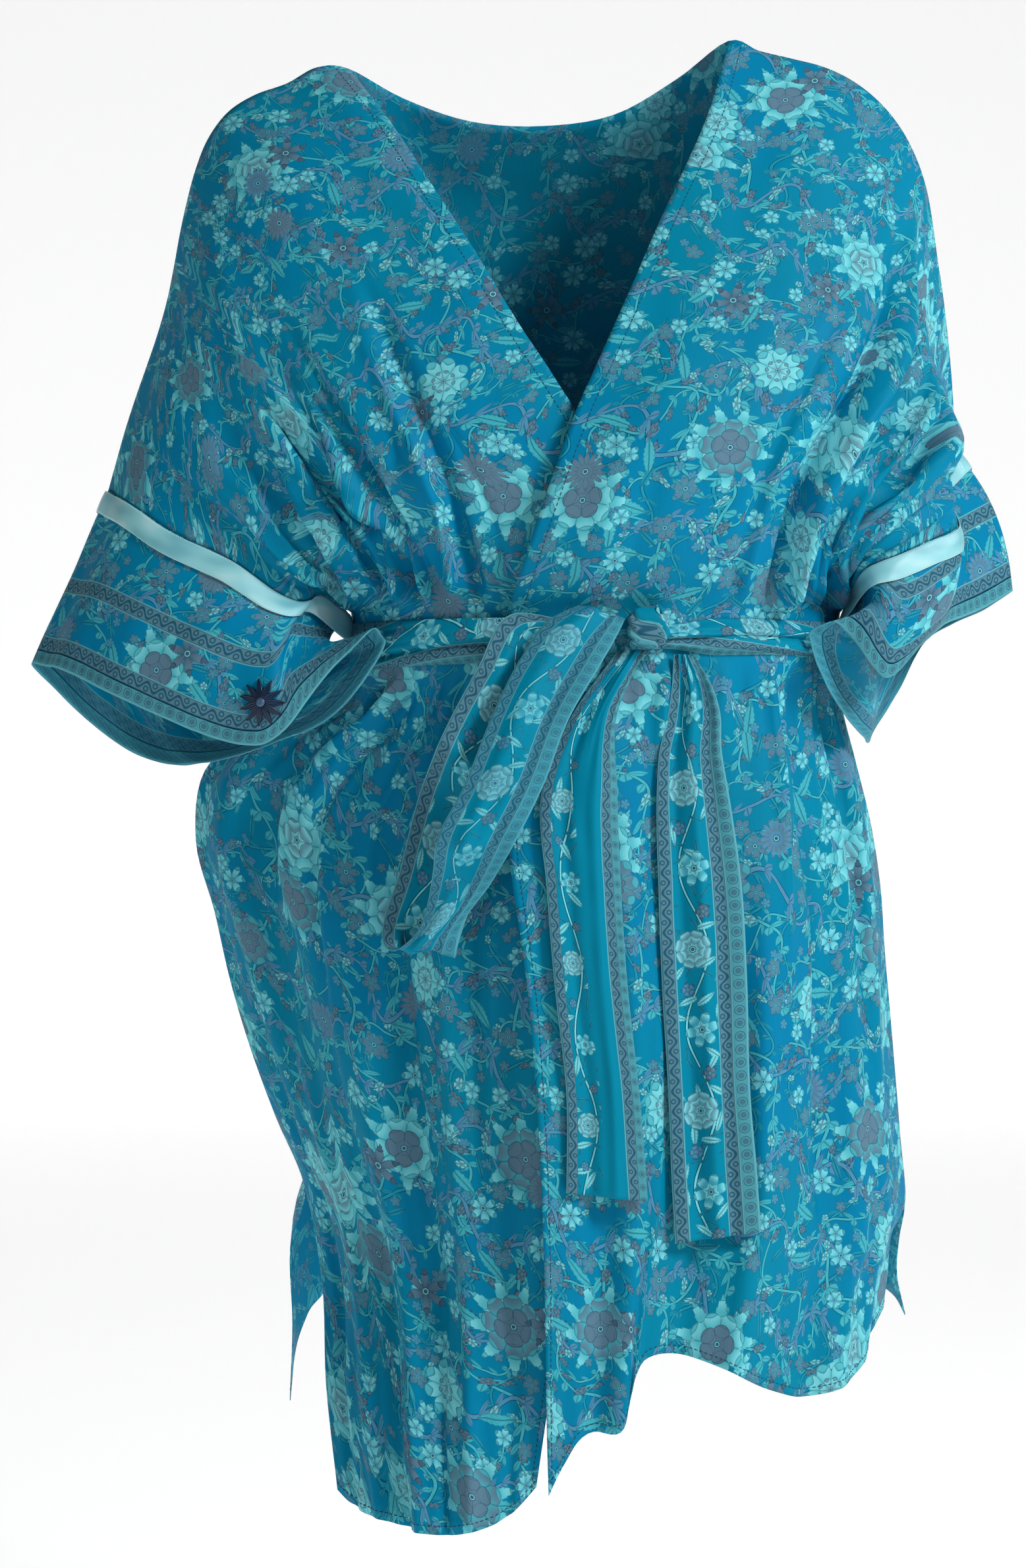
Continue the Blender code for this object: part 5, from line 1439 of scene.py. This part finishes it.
def striped(g, ground, place, stripes):
    """Border stripes over a ground: x of the place runs along the border and y across it."""
    colour = ground
    for start, end, kind in stripes:
        _, up, _ = g.parts(g.after(place, colour))
        cover = g.step(up, start - LINE / 2, start + LINE / 2) * g.step(up, end + LINE / 2, end - LINE / 2)
        if kind in PLAIN_STRIPES:
            filling = PLAIN_STRIPES[kind]
        else:
            along, up, _ = g.parts(g.after(place, colour))
            filling = PATTERNS[kind](g, along, up - (start + end) / 2, (end - start) / 2)
        colour = g.mix(cover, colour, filling)
    return colour


def repeat(g, along, length):
    """The place along a pattern, from the middle of its nearest repeat."""
    return g.math("FRACT", along / length) * length - length / 2


def distance(g, x, y):
    """How far a place is from the middle."""
    return g.math("SQRT", x * x + y * y)


def beads(g, along, off, half):
    """A stripe of round beads, each with a ring."""
    reach = distance(g, repeat(g, along, BEAD_STEP), off)
    bead = g.step(reach, 0.55 * half, 0.42 * half)
    ring = g.step(abs(reach - 0.75 * half), 0.12 * half, 0.04 * half)
    return g.mix(ring * 0.5, g.mix(bead * 0.7, BEAD_AQUA, MAUVE_DEEP), OUTLINE)


def scroll(g, along, off, half):
    """A stripe of scrolls: a wavy line with a curl in each bend, and dark edges."""
    turn = along * (2 * math.pi / SCROLL_STEP)
    wave = g.math("SINE", turn) * (0.55 * half)
    line = g.step(abs(off - wave), 0.30 * half, 0.14 * half)
    side = g.math("SIGN", g.math("COSINE", turn - math.pi / 2)) * (-0.42 * half)
    reach = distance(g, repeat(g, along, SCROLL_STEP / 2), off - side)
    curl = g.step(abs(reach - 0.34 * half), 0.15 * half, 0.05 * half)
    colour = g.mix(g.largest(line, curl), GREY_BAND, SCROLL)
    return g.mix(g.step(abs(off), 0.86 * half, 0.94 * half) * 0.6, colour, OUTLINE)


def vine(g, along, off, half):
    """A wide stripe with a wavy vine, small leaves and flowers."""
    wave = g.math("SINE", along * (2 * math.pi / VINE_STEP)) * (0.62 * half)
    away = abs(off - wave)
    colour = g.mix(g.step(away, 0.0013, 0.0009), PLAIN_TEAL, OUTLINE)
    colour = g.mix(g.step(away, 0.0008, 0.0004), colour, PALE)
    place = g.flat(along, off)
    for look in BORDER_LEAVES:
        colour = g.leaf(colour, *g.cells(g.after(place, colour), look), look)
    for shift, side, petals, radius, notch, point, pale, deep, rings in VINE_BLOOMS:
        along, off, _ = g.parts(g.after(place, colour))
        turns = g.math("FRACT", along / VINE_STEP + (0.5 - shift))
        local = g.flat((turns - 0.5) * VINE_STEP, off - side * half)
        look = Bloom(0, 1, 1, petals, radius * half, notch, point, pale, deep, 0, rings)
        colour = g.bloom(colour, local, None, look)
    return colour


PATTERNS = {"beads": beads, "scroll": scroll, "vine": vine}


def new_finish(name, settings):
    """A material with some of its shader's settings, and its graph and its shader."""
    made = bpy.data.materials.new(name)
    made.use_nodes = True
    shader = made.node_tree.nodes["Principled BSDF"]
    for socket, value in settings.items():
        shader.inputs[socket].default_value = value
    return made, Graph(made.node_tree), shader


def silk(name, paint, stripes=None, width=None):
    """Printed silk with its weave, soft sheen and a duller reverse.

    Stripes follow the second UV coordinate: metres up from a hem, or a share of a width.
    """
    finish, g, shader = new_finish(name, {"Roughness": 0.55, "Specular IOR Level": 0.06})
    place = g.node("ShaderNodeUVMap", uv_map="cloth").outputs[0]
    colour = PLAIN_TEAL
    if not width:
        group = g.node("ShaderNodeGroup", node_tree=paint)
        g.put(group.inputs[0], place)
        colour = group.outputs[0]
    if stripes:
        colour = striped(g, colour, g.vector("MULTIPLY", place, (1.0, width or 1.0, 1.0)), stripes)
    reverse = g.node("ShaderNodeAttribute", attribute_name="reverse").outputs["Fac"]
    colour = g.mix(Value(g, reverse) * REVERSE_FADE, colour, PLAIN_TEAL)
    slub = g.streaks(place, SLUB)
    shade = g.node("ShaderNodeHueSaturation")
    g.put(shade.inputs["Value"], slub * SLUB_SHADE[0] + SLUB_SHADE[1])
    g.put(shade.inputs["Color"], colour)
    g.put(shader.inputs["Base Color"], shade.outputs[0])
    g.bump(shader, slub, 0.25)
    return finish


def satin():
    """Satin ribbon: bright and smooth, streaked along, with dotted edges. Glints and shade are painted in
    patches along it, and sheen is painted in its streaks, which are bumps too.
    """
    settings = {"Roughness": 0.20, "Anisotropic": 0.6, "Specular IOR Level": 0.7}
    finish, g, shader = new_finish("satin_ribbon", settings)
    place = g.node("ShaderNodeUVMap", uv_map="cloth").outputs[0]
    along, up, _ = g.parts(place)
    # Streaks along the satin, which are bumps and painted sheen, and patches of painted glint and painted
    # shade
    streak_and_sheen = g.streaks(place, SATIN_STREAKS_AND_SHEEN)
    painted_light = g.streaks(place, SATIN_PAINTED_LIGHT, 1.0)
    # Painted glints and painted shade: the noise picks the ribbon's shaded, middle or glinting tone
    colour = g.mix(g.step(painted_light, 0.30, 0.56), RIBBON_PAINTED_SHADE, RIBBON_PAINTED_MIDTONE)
    colour = g.mix(g.step(painted_light, 0.54, 0.72), colour, RIBBON_PAINTED_GLINT)
    # Painted sheen: the streaks pull the colour toward the painted middle tone
    colour = g.mix(streak_and_sheen * 0.4, colour, RIBBON_PAINTED_MIDTONE)
    dots = g.step(g.math("SINE", along * (2 * math.pi / RIBBON_DOTS)), -0.2, 0.4)
    rim = g.step(abs(up - 0.5), 0.435, 0.455) * dots
    g.put(shader.inputs["Base Color"], g.mix(rim, colour, RIBBON_DOT))
    g.bump(shader, streak_and_sheen + rim, 0.3)
    return finish


def plain(name, colour, roughness, grain):
    """A plain finish with a slight unevenness."""
    finish, g, shader = new_finish(name, {"Roughness": roughness})
    _, tone = g.noise(g.node("ShaderNodeTexCoord").outputs["Object"], 400.0)
    dark = (*[c * (1 - grain) for c in colour[:3]], 1.0)
    g.put(shader.inputs["Base Color"], g.mix(tone, dark, colour))
    return finish


def place(piece, finish, slot, node=None):
    """Gives a piece its finish and puts it in the place of its solid; the slot is not used."""
    piece.data.materials.append(finish)
    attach(piece, "root")
    if node:
        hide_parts(node)
    return piece


def along_columns(grid, down, places):
    """A grid read down each of its columns at places in metres."""
    found = np.zeros((len(places), *grid.shape[1:]))
    for j, k in np.ndindex(grid.shape[1:]):
        found[:, j, k] = np.interp(places, down[:, j], grid[:, j, k])
    return found


def cuff_shell(side, spec, finish, ribbon_finish):
    """A cuff with its ribbon. Returns its pieces and its grids, coarse and fine."""
    turn = -spec["turn"]
    coarse = cuff(spec)
    fine = refine(coarse, *CUFF_FINE, ring=True)
    around = lengths(fine, 1)
    down = lengths(fine, 0)
    uv = np.stack([around, down[-1:] - down], axis=2)
    wave = ripple(fine, uv, CUFF_WAVE, CUFF_SEED + turn)
    wave[:, -1] = wave[:, 0]
    fine = fine + edge_hold(fine.shape, False, False, CUFF_EDGE) * wave
    way = turn * ring_normals(fine)
    piece = shell(f"cuff_{side}_cloth", fine, uv, SHELL, -way, ring=True)
    place(piece, finish, "border_silk", f"cuff_{side}")

    down = lengths(fine, 0)
    places = np.linspace(RIBBON_EDGE, RIBBON_EDGE + RIBBON_WIDTH, RIBBON_ROWS)
    band = along_columns(fine, down, places)
    band_way = unit(along_columns(way, down, places))
    along = along_columns(around[..., None], down, places)[..., 0]
    share = np.linspace(0, 1, RIBBON_ROWS)[:, None] + 0 * along
    lift = RIBBON_GAP + RIBBON_CROWN * np.sin(np.pi * share)
    for i, j in np.ndindex(lift.shape):
        round_at, down_at = along[i, j] * BUCKLE_RATES[0], share[i, j] * BUCKLE_RATES[1]
        buckle = noise.noise(Vector((round_at, down_at, BUCKLE_SEED)))
        lift[i, j] += RIBBON_BUCKLE * (0.5 + 0.5 * buckle)
    lift[:, -1] = lift[:, 0]
    columns = np.arange(band.shape[1])
    near = np.exp(-(((columns - len(columns) // 2) / RIBBON_SLACK_REACH) ** 2))
    slack = np.array(RIBBON_SLACK) * (-turn, 1, 1)
    band = band + band_way * lift[..., None] + (share * near)[..., None] * slack
    ribbon_uv = np.stack([along, share], axis=2)
    ribbon = shell(f"ribbon_{side}_satin", band, ribbon_uv, RIBBON_SHELL, -band_way, ring=True)
    place(ribbon, ribbon_finish, "satin", f"ribbon_{side}")
    return piece, ribbon, coarse, fine


def panel_seams(name, grid, turn):
    """The hem stitches of a panel: the back has them at its foot, a front at its edge too."""
    runs = []
    neck_rows = UPPER_ROWS * FRONT_FINE[0] + 1
    if name != "back":
        for rows, hem in ((grid[:neck_rows], NECK_HEM), (grid[neck_rows + HEM_SKIP :], NARROW_HEM)):
            line, ways = inset(rows, hem)
            runs.append((line, ways * turn))
    line, ways = inset(grid.transpose(1, 0, 2)[:, ::-1], NARROW_HEM)
    runs.append((line, ways * (np.sign(ways[:, 1:2]) if name == "back" else turn)))
    return stitches(f"{name}_stitches", runs)


def build():
    """Makes every piece of the jacket."""
    paint = print_group()
    body = silk("silk_print", paint)
    border = silk("silk_cuff", paint, CUFF_STRIPES)
    sash = silk("silk_sash", paint, SASH_STRIPES, SASH_WIDTH)
    tail = silk("silk_tail", paint, TAIL_STRIPES, SASH_WIDTH)
    ribbon = satin()
    thread = plain("dark_thread", THREAD, 0.6, 0.2)
    navy = plain("navy_petals", NAVY_PETAL, 0.28, 0.25)
    blue = plain("blue_eye", BLUE_EYE, 0.45, 0.2)

    over = front_panel(LEFT)
    under = under_lap(front_panel(RIGHT), over)
    panels = {}
    coarse = {"front_left": over, "front_right": under, "back": back_panel()}
    for name, fineness, turn, edges, seed, *folds in PANELS:
        grid, uv = dress(coarse[name], fineness, turn, edges, seed, *folds)
        piece = shell(f"{name}_cloth", grid, uv, SHELL, -turn * normals(grid))
        seams = panel_seams(name, grid, turn)
        panels[name] = (place(piece, body, "printed_silk", name), place(seams, thread, "printed_silk"))

    cuffs = {}
    for side, spec in (("right", RIGHT), ("left", LEFT)):
        cuffs[side] = cuff_shell(side, spec, border, ribbon)
    petals, eye = flower_shells(*cuffs["right"][2:])
    place(petals, navy, "navy_trim", "sewn_flower")
    place(eye, blue, "navy_trim")

    trees = [surface(over), surface(under)]
    stretches = {"band": band_shell(), "knot": knot_shell()}
    for name, sections, steps, seed, gathers, folds in STRETCHES:
        strip_name = f"sash_{name}_cloth"
        stretches[name] = strip_shell(strip_name, strip(sections, steps, trees), seed, gathers, folds)
    for name, piece in stretches.items():
        place(piece, tail if name == "tail_inner" else sash, "border_silk", f"sash_{name}")
    return panels, cuffs, stretches


# The set: the floor's level and how far it reaches, and the lights: place, aim, size, power
FLOOR = -1.25
FLOOR_REACH = 9
BACKDROP_AT = 6
BACKDROP_TOP = 7
WORLD_STRENGTH = 0.13
LIGHTS = [
    ("key", (1.75, -1.55, 1.1), (0.0, 0.0, -0.35), 0.7, 52.0),
    ("fill", (-1.6, -2.2, 0.2), (0.0, 0.0, -0.5), 1.6, 1.2),
    ("rim", (0.6, 1.8, 1.6), (0.0, 0.0, -0.2), 1.2, 10.0),
]


def stage():
    """Floor, backdrop, lights and camera."""
    scene = bpy.context.scene
    scene.view_settings.view_transform = "Standard"
    white = (1.0, 1.0, 1.0, 1.0)
    settings = {"Roughness": 0.9, "Emission Color": white, "Emission Strength": 0.5}
    pale, _, _ = new_finish("pale_backdrop", {"Base Color": (0.92, 0.92, 0.92, 1.0), **settings})
    left, right = -FLOOR_REACH, FLOOR_REACH
    far = [(right, BACKDROP_AT, FLOOR), (left, BACKDROP_AT, FLOOR)]
    high = [(right, BACKDROP_AT, BACKDROP_TOP), (left, BACKDROP_AT, BACKDROP_TOP)]
    floor = [(left, left, FLOOR), (right, left, FLOOR), *far]
    for name, points in (("floor", floor), ("backdrop", [*far[::-1], *high])):
        piece = mesh_object(name, points, [(0, 1, 2, 3)])
        piece.data.materials.append(pale)
    world = bpy.data.worlds.new("studio")
    world.use_nodes = True
    world.node_tree.nodes["Background"].inputs["Color"].default_value = white
    world.node_tree.nodes["Background"].inputs["Strength"].default_value = WORLD_STRENGTH
    scene.world = world
    for name, at, aim, size, power in LIGHTS:
        lamp = bpy.data.lights.new(name, "AREA")
        lamp.size = size
        lamp.energy = power
        holder = bpy.data.objects.new(name, lamp)
        holder.location = at
        holder.rotation_euler = (Vector(aim) - Vector(at)).to_track_quat("-Z", "Y").to_euler()
        scene.collection.objects.link(holder)
    lens = bpy.data.cameras.new("camera")
    lens.lens = CAMERA_LENS
    camera = bpy.data.objects.new("camera", lens)
    camera.location = CAMERA_AT
    camera.rotation_euler = (math.pi / 2, 0.0, 0.0)
    scene.collection.objects.link(camera)
    scene.camera = camera


stage()
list(build())
